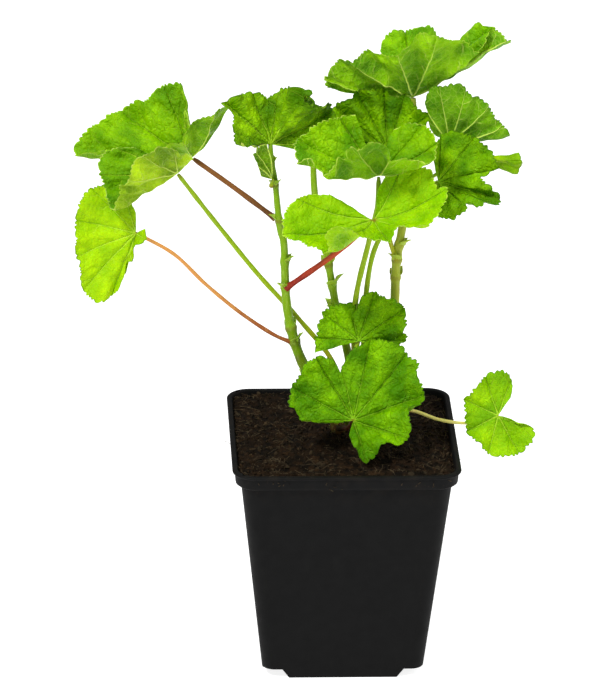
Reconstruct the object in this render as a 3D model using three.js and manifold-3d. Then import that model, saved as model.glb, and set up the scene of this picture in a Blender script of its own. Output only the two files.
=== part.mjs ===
// A young zebrina mallow in a square nursery pot: pot, soil, three stems, and a blade and a
// stalk for each leaf. Millimetres, Z up. The origin is the middle of the pot's flat underside,
// and the viewer who sees the plant's front looks along +Y.

import * as THREE from 'three';
import { mergeVertices } from 'three/addons/utils/BufferGeometryUtils.js';
import Module from 'manifold-3d';

const wasm = await Module();
wasm.setup();

// Driving dimensions of the pot. Widths are measured across the flats of its square section.
const GAP = 0.3;
const POT = {
  height: 93,
  rimWidth: 90,
  collarWidth: 88,
  collarDepth: 6,
  underCollarWidth: 83,
  baseWidth: 63.6,
  wall: 1.2,
  baseCorner: 5,
  rimCorner: 9,
};
const NOTCH = { height: 4, reach: 7.6, slope: 2.9 };
const DRAIN = { radius: 1.6, inset: 5 };
const SOIL = { level: 91.3, hump: 1.1, lump: 0.4, cells: 12 };

// Driving dimensions of the plant.
const BLADE = { thickness: 0.7, tooth: 1.2, ridge: 0.05, dome: -0.07 };
const STALK_SIDES = 8;
const STEM_SIDES = 10;
const SCALE = { length: 4.6, radius: 0.9, lean: 0.6, turn: THREE.MathUtils.degToRad(137.5) };
const STEM_DEPTH = 26;

const COLOUR = {
  pot: 0x1f1e1b,
  soil: 0x2b1a10,
  stem: 0x7aa02e,
  stemRight: 0x97a44c,
  bright: 0x96c81e,
  fresh: 0x7cb81c,
  deep: 0x4f9212,
  under: 0x9abf48,
  brown: 0x8a5a2c,
  red: 0xb04a34,
  tan: 0xc8935a,
  cream: 0xe4d690,
  green: 0x9cb548,
};

// The stems, each from its foot in the soil to its tip, with the radius at foot and tip.
const STEMS = {
  stem_left: {
    radii: [2.8, 0.9], colour: COLOUR.stem, scales: [0.5, 0.68, 0.8, 0.9],
    path: [[-1, 1, 90], [-6.5, 2, 106.5], [-16.5, 2, 122.5], [-22.5, 2, 144.5], [-24.5, 2, 174.5],
      [-25.5, 2, 177.5], [-27, 2, 189], [-28, 2, 199], [-29.5, 2, 208], [-30, 2, 214.5]],
  },
  stem_middle: {
    radii: [1.9, 1.2], colour: COLOUR.stem, scales: [0.55, 0.66, 0.75],
    path: [[3, 8, 90], [2.5, 6, 119.5], [-3.5, 5, 146.5], [-7.5, 6, 168.5], [-12, 8, 190.5],
      [-13, 10, 208.5]],
  },
  stem_right: {
    radii: [2.3, 1.3], colour: COLOUR.stemRight, scales: [0.45, 0.56, 0.64],
    path: [[8, 3, 90], [13.5, 7, 117], [19.5, 8, 138], [20.5, 8, 162], [22.5, 9, 176],
      [26, 11, 196], [27, 12, 208], [26, 14, 229]],
  },
};

// The leaves. `at` is where the stalk meets the blade, and `margin` runs round its edge, from one
// side of the open heart at the stalk to the other, counterclockwise seen from the upper face.
// `ribs` is the number of main veins and `teeth` of blunt teeth. `stalk` runs from the stem to
// the blade. A leaf without a stalk sits on the tip of its stem.
const LEAVES = {
  upper_left: {
    at: [-60, 12, 205.5], colour: COLOUR.fresh, teeth: 24, ribs: 7, rings: 3,
    margin: [[-62, 25, 225.5], [-62, 21, 220.5], [-63.5, 16, 216], [-64, 28, 230], [-73, 31, 227.5],
      [-78, 32, 221.5], [-84, 32, 220.5], [-90.5, 30, 217.5], [-97, 26, 214], [-102.5, 22, 211.5],
      [-106, 19, 207.5], [-96, 12, 208], [-86.5, 6, 207.5], [-76, 2, 209], [-67.5, 1, 214],
      [-60.5, 2, 222], [-57, 2.5, 225], [-53, 3, 228], [-49.5, 4.5, 229.5], [-45.5, 6, 227.5]],
    stalk: {
      from: 'stem_left', radius: 1.2, colour: COLOUR.brown,
      path: [[-27.5, 4, 182.5], [-43, 8, 193.5]],
    },
  },
  left_turned: {
    at: [-66.5, -12, 208], colour: COLOUR.under, teeth: 20, ribs: 5, rings: 3, dome: -0.02,
    margin: [[-81, -8, 216], [-89.5, -6, 216.5], [-96, -6, 213], [-97, -8, 208.5], [-95, -12, 202.5],
      [-92.5, -19, 196.5], [-88, -27, 207], [-85, -31, 215.5], [-79.5, -30, 223], [-70, -27, 223.5],
      [-60.5, -20, 217]],
    stalk: {
      from: 'stem_middle', radius: 1.1, colour: COLOUR.green,
      path: [[2.5, 8, 99.5], [-4, 9, 119.5], [-17, 8, 137.5], [-34, 5, 158.5], [-49.5, 0, 180.5]],
    },
  },
  left_crown: {
    at: [-30, 2, 214.5], colour: COLOUR.fresh, teeth: 22, ribs: 7, rings: 3, dome: 0.02,
    margin: [[-16.5, 5, 210.5], [-6.5, 9, 213.5], [-4, 13, 221], [-6, 13, 227], [-10.5, 8, 228.5],
      [-15.5, -2, 233.5], [-18, -1, 236], [-17.5, 0, 238], [-20, 3, 238], [-26.5, 7, 235.5],
      [-31, 9, 231], [-35.5, 7, 234.5], [-40.5, 4, 235], [-46, -1, 234.5], [-47.5, -4, 232.5],
      [-46.5, -6, 227.5], [-45, -8, 222], [-44, -11, 221], [-38, -8, 218.5]],
    on: 'stem_left',
  },
  left_young: {
    at: [-29.5, -2, 201.5], colour: COLOUR.deep, teeth: 7, ribs: 3, rings: 2,
    margin: [[-33.5, -5, 203.5], [-35.5, -7, 210], [-36.5, -7, 214.5], [-34, -4, 216.5], [-31, -1, 210]],
    stalk: {
      from: 'stem_left', radius: 0.8, colour: COLOUR.green,
      path: [[-29.5, 1, 197.5]],
    },
  },
  far_left: {
    at: [-82.5, -12, 183], colour: COLOUR.bright, teeth: 22, ribs: 7, rings: 3,
    margin: [[-83, -9, 190.5], [-85, -9, 196], [-90.5, -9, 200.5], [-97.5, -9, 201.5],
      [-103.5, -10, 197.5], [-105.5, -11, 191.5], [-106.5, -13, 181.5], [-106, -14, 175.5],
      [-104.5, -15, 169.5], [-104, -16, 163.5], [-101, -17, 158.5], [-97.5, -17, 156],
      [-93.5, -16, 156.5], [-89.5, -14, 160], [-87, -11, 165], [-83, -14, 176], [-79.5, -16, 181.5],
      [-78.5, -16, 186.5]],
    stalk: {
      from: 'stem_left', radius: 0.9, colour: COLOUR.tan,
      path: [[-20.5, 1.5, 131], [-27, 0, 134.5], [-41, -3, 145.5], [-55, -6, 159], [-67.5, -8, 172.5]],
    },
  },
  middle: {
    at: [9.5, -22, 192], colour: COLOUR.bright, teeth: 30, ribs: 7, rings: 3, dome: -0.1,
    margin: [[4, -17, 187.5], [2.5, -16, 190.5], [0, -15.5, 194], [-3, -15, 196.5], [-9, -16, 200],
      [-17, -18, 201], [-23, -21, 198], [-26.5, -24, 192.5], [-25.5, -27, 189], [-20, -30, 186.5],
      [-16.5, -33, 184.5], [-9.5, -38, 186.5], [-8.5, -42, 193.5], [-5, -45, 198.5], [-0.5, -45.5, 198.5],
      [4, -43, 193.5], [9.5, -39, 190], [15, -37, 190], [19, -35, 193.5], [27, -32, 194],
      [35, -28, 196.5], [38, -24, 200.5], [37, -21, 205], [34, -20, 204.5], [31.5, -15.5, 210.5],
      [23, -13.5, 211], [15.5, -14.5, 208.5], [11, -18, 204]],
    stalk: {
      from: 'stem_left', radius: 1.3, colour: COLOUR.red,
      path: [[-23, 1, 154.5], [-5.5, -12, 173.5]],
    },
  },
  centre: {
    at: [11.5, -14, 207.5], colour: COLOUR.bright, teeth: 28, ribs: 7, rings: 3, dome: -0.04,
    margin: [[2.5, -1, 227.5], [-3, -2, 227.5], [-12, -5, 225.5], [-18.5, -10, 222.5], [-22.5, -14, 219],
      [-18.5, -20, 216.5], [-14, -25, 214.5], [-5, -30, 218], [0, -33, 226], [7, -34, 228.5],
      [13, -33, 226.5], [18, -30, 220.5], [25, -25, 217.5], [32.5, -20, 217], [33.5, -16, 222],
      [30.5, -10, 226], [24.5, -5, 226], [18.5, -3, 222]],
    stalk: {
      from: 'stem_right', radius: 1.3, colour: COLOUR.green,
      path: [[8, 3, 98], [5, 0, 114.5], [4, 1, 146.5], [8.5, -6, 176], [11.5, -11, 194]],
    },
  },
  centre_pleated: {
    at: [16, 0, 212], colour: COLOUR.deep, teeth: 18, ribs: 5, rings: 3,
    margin: [[32.5, 2, 221], [31.5, 5, 224.5], [27, 8, 228.5], [23, 9, 232], [18, 9, 231.5],
      [14.5, 9.5, 234.5], [10.5, 9.5, 235], [5.5, 9.5, 234], [1, 8.5, 232], [-4.5, 7, 228.5],
      [-5.5, 3, 224.5], [-1, 3, 215.5]],
    stalk: {
      from: 'stem_right', radius: 1.1, colour: COLOUR.green,
      path: [[20.5, 7, 163.5], [17.5, 7, 173], [16, 4, 192]],
    },
  },
  top: {
    at: [26, 14, 229.5], colour: COLOUR.under, teeth: 30, ribs: 7, rings: 3, dome: -0.02,
    margin: [[-0.5, 18.5, 230.5], [-8, 19, 233], [-7.5, 14, 239.5], [-2, 8, 246], [6, 2, 251.5],
      [13.5, -2, 253], [21, -5, 256.5], [28.5, -6, 263], [34.5, -4, 261], [43.5, 0, 256.5],
      [50.5, 4, 253], [56.5, 6, 259], [62.5, 9, 256], [64, 12, 252], [59, 17, 256], [54.5, 21, 257.5],
      [50, 25, 253.5], [46.5, 29, 245.5], [41.5, 32, 242.5], [37.5, 34, 246], [31.5, 36, 250.5],
      [22.5, 36, 250.5], [16.5, 34, 247.5], [14.5, 31, 242]],
    on: 'stem_right',
  },
  right_upper: {
    at: [41, 14, 210.5], colour: COLOUR.under, teeth: 18, ribs: 5, rings: 3,
    margin: [[33, 11, 217.5], [31.5, 9, 225], [30.5, 8, 230.5], [32.5, 7, 235.5], [37.5, 6, 237.5],
      [44.5, 6, 237], [48, 6, 233.5], [54.5, 8, 229.5], [58, 10, 223], [64, 14, 214.5], [59, 21, 209.5],
      [53, 26, 205.5]],
    stalk: {
      from: 'stem_right', radius: 1, colour: COLOUR.green,
      path: [[26, 12, 197.5], [33, 14, 207.5]],
    },
  },
  right: {
    at: [35.5, -2, 200.5], colour: COLOUR.deep, teeth: 24, ribs: 5, rings: 3,
    margin: [[32.5, -11, 195.5], [34.5, -12, 191.5], [37.5, -13, 189.5], [41.5, -14, 188.5],
      [45, -14, 191], [46.5, -12, 194.5], [50.5, -12, 193.5], [54.5, -11, 192], [58.5, -9, 194.5],
      [58.5, -7, 197.5], [55.5, -6, 201], [52, -4, 203.5], [58.5, -3, 206], [58, -1, 210], [55, 1, 213.5],
      [49.5, 3, 217], [44, 5, 218.5], [39, 6, 218], [35.5, 5, 215], [33, 4, 210.5]],
    stalk: {
      from: 'stem_right', radius: 1.2, colour: COLOUR.green,
      path: [[10, 4.5, 103], [8, 4, 125], [8.5, 4.5, 150], [12.5, 4, 172], [24, 0, 189.5]],
    },
  },
  right_young: {
    at: [41.5, 8, 204], colour: COLOUR.bright, teeth: 6, ribs: 2, rings: 2,
    margin: [[68, 11, 200], [69, 5, 205.5], [68, 10, 206.5]],
    stalk: {
      from: 'stem_right', radius: 0.8, colour: COLOUR.green,
      path: [[25, 11, 192.5], [34, 10, 197.5]],
    },
  },
  behind_centre: {
    at: [-13, 10, 208.5], colour: COLOUR.deep, teeth: 15, ribs: 5, rings: 2,
    margin: [[1, 18, 205], [3, 23, 212.5], [0, 26, 219], [-6.5, 28, 220], [-12.5, 28, 219],
      [-17.5, 25, 214], [-19, 20, 207]],
    on: 'stem_middle',
  },
  lower: {
    at: [5.5, -6, 134.5], colour: COLOUR.fresh, teeth: 20, ribs: 5, rings: 3,
    margin: [[16, -7, 131], [24.5, -8, 136.5], [23.5, -8, 140], [24.5, -7, 143.5], [23, -5, 148],
      [20, -3, 151], [15.5, -2, 152], [10.5, -1, 153], [6.5, -1, 151.5], [3, -3, 145], [1, -2, 148.5],
      [-3, -3, 149.5], [-7.5, -5, 147.5], [-11, -7, 143], [-11.5, -8, 138], [-12.5, -10, 131.5]],
    stalk: {
      from: 'stem_left', radius: 1.1, colour: COLOUR.green,
      path: [[-2.5, 0, 97], [0, -3, 116.5]],
    },
  },
  front: {
    at: [3, -20, 106.5], colour: COLOUR.fresh, teeth: 28, ribs: 7, rings: 3,
    margin: [[1, -26, 102.5], [3, -31, 100], [6.5, -34, 97], [12, -34, 98], [15.5, -33, 101],
      [20, -32, 101.5], [25, -29, 106.5], [25, -26, 112.5], [29, -24, 113.5], [30, -20, 120.5],
      [28.5, -18, 125], [29, -16, 129.5], [24.5, -15, 131.5], [20.5, -14, 137], [13.5, -13, 138.5],
      [6.5, -12, 136.5], [1.5, -12, 132.5], [-2, -14, 125], [-5, -13, 129.5], [-9.5, -13, 131.5],
      [-15.5, -15, 129.5], [-19, -17, 125], [-22, -20, 118], [-22.5, -22, 113.5], [-17, -25, 109.5],
      [-11, -26, 107.5]],
    stalk: {
      from: 'stem_left', radius: 1.3, colour: COLOUR.red,
      path: [[-1.5, -0.5, 95], [1.5, -11, 99.5]],
    },
  },
  low_right: {
    at: [61.5, -4, 101.5], colour: COLOUR.bright, teeth: 20, ribs: 7, rings: 3,
    margin: [[66.5, 0, 107.5], [67, 3, 114], [64, 4, 117.5], [58.5, 3, 117], [53.5, 1, 114],
      [48.5, -3, 108], [47.5, -5, 102], [49, -8, 96.5], [53.5, -11, 91], [60, -12, 87.5], [67.5, -11, 87],
      [73.5, -9, 90.5], [76, -8, 93.5], [73, -7, 98], [68, -6, 100.5]],
    stalk: {
      from: 'stem_right', radius: 0.8, colour: COLOUR.cream,
      path: [[8, 2, 96], [14, -3, 101], [26, -3, 103.5], [38, -2, 99], [48, -1, 97], [56, 0, 97.5]],
    },
  },
};

const point = (p) => new THREE.Vector3(...p);
const smoothCurve = (points) => new THREE.CatmullRomCurve3(points, false, 'centripetal');

// Closed indexed geometry from a list of points and a list of triangles.
function closedGeometry(points, triangles) {
  const geometry = new THREE.BufferGeometry();
  const numbers = points.flatMap((p) => p.toArray());
  geometry.setAttribute('position', new THREE.Float32BufferAttribute(numbers, 3));
  geometry.setIndex(triangles.flat());
  return geometry;
}

// A solid for joining and cutting, from any closed geometry.
function solidOf(geometry) {
  const bare = geometry.clone();
  bare.deleteAttribute('normal');
  bare.deleteAttribute('uv');
  const merged = mergeVertices(bare, 1e-4);
  return new wasm.Manifold(new wasm.Mesh({
    numProp: 3,
    vertProperties: new Float32Array(merged.attributes.position.array),
    triVerts: new Uint32Array(merged.index.array),
  }));
}

function geometryOf(solid) {
  const { vertProperties, triVerts } = solid.getMesh();
  const geometry = new THREE.BufferGeometry();
  geometry.setAttribute('position', new THREE.BufferAttribute(new Float32Array(vertProperties), 3));
  geometry.setIndex(new THREE.BufferAttribute(new Uint32Array(triVerts), 1));
  geometry.computeVertexNormals();
  return geometry;
}

// Sides and both ends of a stack of rings that all have the same number of points.
function loft(rings) {
  const count = rings[0].length;
  const points = rings.flat();
  const triangles = [];
  for (let ring = 0; ring < rings.length - 1; ring += 1) {
    for (let i = 0; i < count; i += 1) {
      const a = ring * count + i;
      const b = ring * count + (i + 1) % count;
      triangles.push([a, b, b + count], [a, b + count, a + count]);
    }
  }
  for (const [ring, inward] of [[0, true], [rings.length - 1, false]]) {
    const sum = rings[ring].reduce((all, p) => all.add(p), new THREE.Vector3());
    points.push(sum.divideScalar(count));
    for (let i = 0; i < count; i += 1) {
      const a = ring * count + i;
      const b = ring * count + (i + 1) % count;
      triangles.push(inward ? [points.length - 1, b, a] : [points.length - 1, a, b]);
    }
  }
  return closedGeometry(points, triangles);
}

// One section of the pot: a square of the given width with round corners, at height z.
function squareRing(width, corner, z, steps = 4) {
  const inset = width / 2 - corner;
  const ring = [];
  for (let quarter = 0; quarter < 4; quarter += 1) {
    const middle = (quarter + 0.5) * Math.PI / 2;
    const x = Math.SQRT2 * inset * Math.cos(middle);
    const y = Math.SQRT2 * inset * Math.sin(middle);
    for (let i = 0; i <= steps; i += 1) {
      const angle = (quarter + i / steps) * Math.PI / 2;
      ring.push(new THREE.Vector3(x + corner * Math.cos(angle), y + corner * Math.sin(angle), z));
    }
  }
  return ring;
}

// What the four raised corners of the base take away, grown by `extra` for the wall above them.
function cornerNotches(extra) {
  const half = NOTCH.reach + extra;
  const below = 2;
  const height = NOTCH.height + extra + below;
  const spread = NOTCH.slope * height / NOTCH.height;
  const [inner, outer] = [Math.SQRT2 * half, Math.SQRT2 * (half + spread)];
  const block = new THREE.CylinderGeometry(inner, outer, height, 4, 1);
  block.rotateY(Math.PI / 4).rotateX(Math.PI / 2).translate(0, 0, height / 2 - below);
  const corner = solidOf(block);
  const reach = POT.baseWidth / 2;
  return [[-1, -1], [1, -1], [1, 1], [-1, 1]]
    .map(([x, y]) => corner.translate([x * reach, y * reach, 0]))
    .reduce((all, one) => all.add(one));
}

// The hollow of the pot, drawn in by `inset` on every side.
function hollow(inset, top) {
  const innerWidth = (outer) => outer - 2 * (POT.wall + inset);
  const collarFoot = POT.height - POT.collarDepth;
  const corner = POT.rimCorner - POT.wall - inset;
  return solidOf(loft([
    squareRing(innerWidth(POT.baseWidth) + 0.3, POT.baseCorner - POT.wall, POT.wall + inset),
    squareRing(innerWidth(POT.underCollarWidth), corner - 1, collarFoot + 0.6 + inset),
    squareRing(innerWidth(POT.collarWidth) - 1, corner, collarFoot + 1.6 + inset),
    squareRing(innerWidth(POT.collarWidth), corner, top - 0.6),
    squareRing(innerWidth(POT.collarWidth) + 0.6, corner, top + 0.4),
  ])).subtract(cornerNotches(POT.wall + inset));
}

function potSolid() {
  const collarFoot = POT.height - POT.collarDepth;
  let pot = solidOf(loft([
    squareRing(POT.baseWidth, POT.baseCorner, 0),
    squareRing(POT.underCollarWidth, POT.rimCorner - 2, collarFoot - 0.4),
    squareRing(POT.collarWidth - 2.4, POT.rimCorner - 1, collarFoot - 0.2),
    squareRing(POT.collarWidth - 0.5, POT.rimCorner - 0.6, collarFoot + 0.8),
    squareRing(POT.collarWidth, POT.rimCorner - 0.4, POT.height - 1.4),
    squareRing(POT.rimWidth - 0.3, POT.rimCorner, POT.height - 1),
    squareRing(POT.rimWidth, POT.rimCorner, POT.height - 0.5),
    squareRing(POT.rimWidth - 0.8, POT.rimCorner - 0.3, POT.height),
  ]));
  pot = pot.subtract(cornerNotches(0)).subtract(hollow(0, POT.height));
  const drill = new THREE.CylinderGeometry(DRAIN.radius, DRAIN.radius, 20, 10).rotateX(Math.PI / 2);
  const reach = POT.baseWidth / 2 - DRAIN.inset;
  for (const [x, y] of [[-1, -1], [1, -1], [1, 1], [-1, 1]]) {
    pot = pot.subtract(solidOf(drill).translate([x * reach, y * reach, 0]));
  }
  return pot;
}

// Height of the soil: a low hump with lumps.
function soilHeight(x, y) {
  const edge = Math.max(Math.abs(x), Math.abs(y)) / (POT.rimWidth / 2);
  const lumps = Math.sin(x * 0.31 + 1.3) * Math.cos(y * 0.27) + Math.sin(x * 0.12 - y * 0.19 + 0.6);
  return SOIL.level + SOIL.hump * (1 - edge * edge) + SOIL.lump * lumps;
}

function soilSolid(stems) {
  const side = POT.rimWidth + 10;
  const block = new THREE.BoxGeometry(side, side, POT.height, SOIL.cells, SOIL.cells, 1);
  const place = block.attributes.position;
  for (let i = 0; i < place.count; i += 1) {
    if (place.getZ(i) > 0) place.setZ(i, soilHeight(place.getX(i), place.getY(i)));
  }
  let soil = hollow(GAP, POT.height).intersect(solidOf(block));
  for (const stem of Object.values(stems)) soil = soil.subtract(stem.room);
  return soil;
}

// A closed tube along a smooth curve, whose radius changes evenly from foot to tip.
function tube(path, [footRadius, tipRadius], sides, steps) {
  const curve = smoothCurve(path);
  const rings = [];
  let across = new THREE.Vector3(1, 0, 0);
  for (let i = 0; i <= steps; i += 1) {
    const centre = curve.getPoint(i / steps);
    const along = curve.getTangent(i / steps);
    across = across.clone().addScaledVector(along, -across.dot(along)).normalize();
    const beside = along.clone().cross(across);
    const radius = THREE.MathUtils.lerp(footRadius, tipRadius, i / steps);
    rings.push(Array.from({ length: sides }, (_, k) => {
      const angle = 2 * Math.PI * k / sides;
      return centre.clone().addScaledVector(across, radius * Math.cos(angle))
        .addScaledVector(beside, radius * Math.sin(angle));
    }));
  }
  return solidOf(loft(rings));
}

// The same path, run on past each end by `foot` and `tip` millimetres.
function lengthened(path, foot, tip) {
  const longer = path.map((p) => p.clone());
  const last = path.length - 1;
  const toFoot = path[0].clone().sub(path[1]).normalize();
  const toTip = path[last].clone().sub(path[last - 1]).normalize();
  longer[0].addScaledVector(toFoot, foot);
  longer[last].addScaledVector(toTip, tip);
  return longer;
}

// The small pointed scales and buds at the joints of a stem, turned on round it one by one.
function stemScales(path, radii, heights) {
  const curve = smoothCurve(path);
  return heights.map((height, k) => {
    const along = curve.getTangent(height);
    const out = new THREE.Vector3(Math.cos(k * SCALE.turn), Math.sin(k * SCALE.turn), 0);
    const lean = along.clone().addScaledVector(out, SCALE.lean).normalize();
    const cone = new THREE.ConeGeometry(SCALE.radius, SCALE.length, 5);
    cone.translate(0, SCALE.length / 2 - 0.8, 0);
    cone.applyQuaternion(new THREE.Quaternion().setFromUnitVectors(new THREE.Vector3(0, 1, 0), lean));
    const radius = THREE.MathUtils.lerp(radii[0], radii[1], height);
    const root = curve.getPoint(height).addScaledVector(out, radius * 0.6);
    return solidOf(cone.translate(...root.toArray()));
  });
}

function stemSolid({ path, radii, scales }) {
  const above = path.map(point);
  const foot = above[0].clone().setZ(above[0].z - STEM_DEPTH);
  const whole = [foot, ...above];
  const tip = BLADE.thickness / 2 + GAP;
  const steps = 3 * whole.length;
  const shaft = tube(lengthened(whole, 0, -tip), radii, STEM_SIDES, steps);
  const room = tube(lengthened(whole, GAP, GAP - tip), radii.map((r) => r + GAP), STEM_SIDES, steps);
  const solid = stemScales(whole, radii, scales).reduce((all, one) => all.add(one), shaft);
  return { solid, room };
}

function stalkSolid({ path, radius }, at) {
  const whole = [...path, at].map(point);
  const tip = BLADE.thickness / 2 + GAP;
  const radii = [radius * 1.15, radius * 0.9];
  const steps = 4 * whole.length;
  return {
    solid: tube(lengthened(whole, 0, -tip), radii, STALK_SIDES, steps),
    room: tube(lengthened(whole, GAP, GAP - tip), radii.map((r) => r + GAP), STALK_SIDES, steps),
  };
}

// A point of the blade. u runs round the margin from 0 to 1 and t out from the stalk to it. The
// blade swells between its main veins and is dished a little between stalk and margin.
function bladePoint({ centre, margin, up, ribs, shape }, u, t, isTooth) {
  const spoke = margin.getPointAt(u).sub(centre);
  const length = spoke.length();
  const cut = isTooth ? 0 : shape.tooth / length;
  const swell = shape.ridge * (Math.cos(Math.PI * ribs * u) ** 2 - 0.5) * t;
  const dish = shape.dome * Math.sin(Math.PI * t);
  return centre.clone().addScaledVector(spoke, t * (1 - cut * t ** 4))
    .addScaledVector(up, (swell + dish) * length);
}

// A leaf blade: a fan of rings round the stalk, open at the heart, given its thickness along
// the surface normals and split into triangles alike on both faces.
function bladeSolid({ at, margin, teeth, ribs, rings, ...own }) {
  const centre = point(at);
  const edge = margin.map(point);
  const up = new THREE.Vector3();
  for (let i = 0; i < edge.length - 1; i += 1) {
    up.add(edge[i].clone().sub(centre).cross(edge[i + 1].clone().sub(centre)));
  }
  const frame = {
    centre, margin: smoothCurve(edge), up: up.normalize(), ribs, shape: { ...BLADE, ...own },
  };
  const columns = 2 * teeth;
  const sheet = [centre.clone()];
  const faces = [];
  for (let ring = 1; ring <= rings; ring += 1) {
    for (let column = 0; column <= columns; column += 1) {
      sheet.push(bladePoint(frame, column / columns, ring / rings, column % 2 === 0));
    }
  }
  const at1 = (ring, column) => (ring === 0 ? 0 : 1 + (ring - 1) * (columns + 1) + column);
  for (let column = 0; column < columns; column += 1) {
    faces.push([0, at1(1, column), at1(1, column + 1)]);
    for (let ring = 1; ring < rings; ring += 1) {
      const [a, b] = [at1(ring, column), at1(ring, column + 1)];
      const [c, d] = [at1(ring + 1, column), at1(ring + 1, column + 1)];
      if (column % 2) faces.push([a, c, d], [a, d, b]);
      else faces.push([a, c, b], [b, c, d]);
    }
  }
  const border = [];
  for (let ring = 0; ring <= rings; ring += 1) border.push(at1(ring, 0));
  for (let column = 1; column <= columns; column += 1) border.push(at1(rings, column));
  for (let ring = rings - 1; ring >= 1; ring -= 1) border.push(at1(ring, columns));

  const normals = closedGeometry(sheet, faces);
  normals.computeVertexNormals();
  const normal = new THREE.Vector3();
  const half = frame.shape.thickness / 2;
  const upper = sheet.map((p, i) => p.clone()
    .addScaledVector(normal.fromBufferAttribute(normals.attributes.normal, i), half));
  const lower = sheet.map((p, i) => p.clone()
    .addScaledVector(normal.fromBufferAttribute(normals.attributes.normal, i), -half));
  const n = sheet.length;
  const triangles = [...faces, ...faces.map(([a, b, c]) => [a + n, c + n, b + n])];
  border.forEach((a, i) => {
    const b = border[(i + 1) % border.length];
    triangles.push([a, a + n, b + n], [a, b + n, b]);
  });
  return solidOf(closedGeometry([...upper, ...lower], triangles));
}

function mesh(name, solid, colour, roughness) {
  const material = new THREE.MeshStandardMaterial({ color: colour, roughness, metalness: 0 });
  const made = new THREE.Mesh(geometryOf(solid), material);
  made.name = name;
  return made;
}

const plant = new THREE.Group();
const stems = Object.fromEntries(Object.entries(STEMS).map(([name, stem]) => [name, stemSolid(stem)]));

plant.add(mesh('pot', potSolid(), COLOUR.pot, 0.6));
plant.add(mesh('soil', soilSolid(stems), COLOUR.soil, 0.95));

for (const [name, leaf] of Object.entries(LEAVES)) {
  let blade = bladeSolid(leaf);
  if (leaf.stalk) {
    const { solid, room } = stalkSolid(leaf.stalk, leaf.at);
    stems[leaf.stalk.from].solid = stems[leaf.stalk.from].solid.subtract(room);
    blade = blade.subtract(room);
    plant.add(mesh(`stalk_${name}`, solid, leaf.stalk.colour, 0.5));
  } else {
    blade = blade.subtract(stems[leaf.on].room);
  }
  plant.add(mesh(`leaf_${name}`, blade, leaf.colour, 0.45));
}

for (const [name, { solid }] of Object.entries(stems)) {
  plant.add(mesh(name, solid, STEMS[name].colour, 0.5));
}

export default plant;
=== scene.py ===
"""Looks of a young zebrina mallow in a square nursery pot.

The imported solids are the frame. Each of them is replaced by a finer piece of the same form: the pot
with its rolled rim, the soil with its crumbs and fibres, the stems with their joints and bracts, and
a stalk and a veined blade for each leaf. Sizes are millimetres until a mesh is made from them.
"""

from __future__ import annotations

import logging
import math
from dataclasses import dataclass, field
from enum import Enum
from typing import Sequence

import bpy
import numpy as np
from mathutils import Matrix, Vector

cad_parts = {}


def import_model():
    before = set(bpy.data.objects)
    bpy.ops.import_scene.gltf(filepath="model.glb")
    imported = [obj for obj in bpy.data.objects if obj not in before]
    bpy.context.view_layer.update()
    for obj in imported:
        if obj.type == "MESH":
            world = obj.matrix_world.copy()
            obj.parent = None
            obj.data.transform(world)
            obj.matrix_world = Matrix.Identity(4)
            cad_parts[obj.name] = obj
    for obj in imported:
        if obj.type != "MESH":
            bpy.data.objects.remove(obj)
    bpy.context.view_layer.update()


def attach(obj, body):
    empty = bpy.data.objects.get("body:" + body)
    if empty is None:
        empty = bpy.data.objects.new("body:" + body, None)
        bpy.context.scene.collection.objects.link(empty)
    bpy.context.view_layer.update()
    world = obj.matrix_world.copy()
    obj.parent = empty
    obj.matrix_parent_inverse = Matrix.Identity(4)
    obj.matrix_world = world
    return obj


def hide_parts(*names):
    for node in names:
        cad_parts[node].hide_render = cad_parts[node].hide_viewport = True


log = logging.getLogger("mallow")
MM = 0.001
BODY = "root"
PLANE_SCALE = 0.01  # of a blade's UV map, for each millimetre
VEIN_SPACING = 7.0  # from one branch vein to the next, in millimetres
VEIN_SLANT = 1.05  # how far a branch runs forward for each millimetre from its main vein
FAR_FROM_MARGIN = 20  # at the heart of a blade, in millimetres
Point = tuple[float, float, float]
Shade = tuple[float, float, float, float]
Sockets = bpy.types.bpy_prop_collection
Value = object


def srgb(code: int) -> Shade:
    """Turn a colour code into the linear colour that shaders use.

    Args:
        code: Six hexadecimal digits, red first.

    Returns:
        Linear red, green, blue and alpha.
    """
    parts = [((code >> shift) & 255) / 255 for shift in (16, 8, 0)]
    linear = [p / 12.92 if p <= 0.04045 else ((p + 0.055) / 1.055) ** 2.4 for p in parts]
    return (linear[0], linear[1], linear[2], 1.0)


class Tone(Enum):
    """The name of the slot given with a leaf's blade: how light it is, or that it shows its underside."""

    BRIGHT = "bright"
    FRESH = "fresh"
    DEEP = "deep"
    UNDER = "under"


class Tint(Enum):
    """The colour of a leaf stalk."""

    GREEN = "green"
    BROWN = "brown"
    RED = "red"
    TAN = "tan"
    CREAM = "cream"


@dataclass(frozen=True)
class LeafFinish:
    """The finish of a leaf blade: its two greens, how deep its folds are, how wavy its margin is,
    how crinkled its face is, and the size of the red spot at its heart, in millimetres. An
    underside without greens of its own has those of the upper face.
    """

    # The two greens hold painted light and shade as well as the leaf's own colour: each leaf gets lighter or
    # darker greens for the light where it stands.
    lit: int
    deep: int
    pleat: float = 1.0
    ruffle: float = 0.6
    crinkle: float = 0.5
    heart_size: float = 0.0
    under: int = 0
    under_deep: int = 0
    vein: int = 0xB8DC3C
    under_vein: int = 0xC8E060
    # A pale rim colour paints a highlight along the margin; the dark default is the margin's own colour.
    rim: int = 0x3E5C08
    heart: int = 0x7A3B1C
    gloss: float = 0.46
    glow: float = 0.12


@dataclass(frozen=True)
class StalkFinish:
    """The finish of a stalk or stem, which changes from its foot to its tip."""

    foot: int
    tip: int
    scar: int = 0x6A4A26
    fleck: int = 0xC8CC80
    bract: int = 0xA8C840
    rough: float = 0.45


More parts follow.
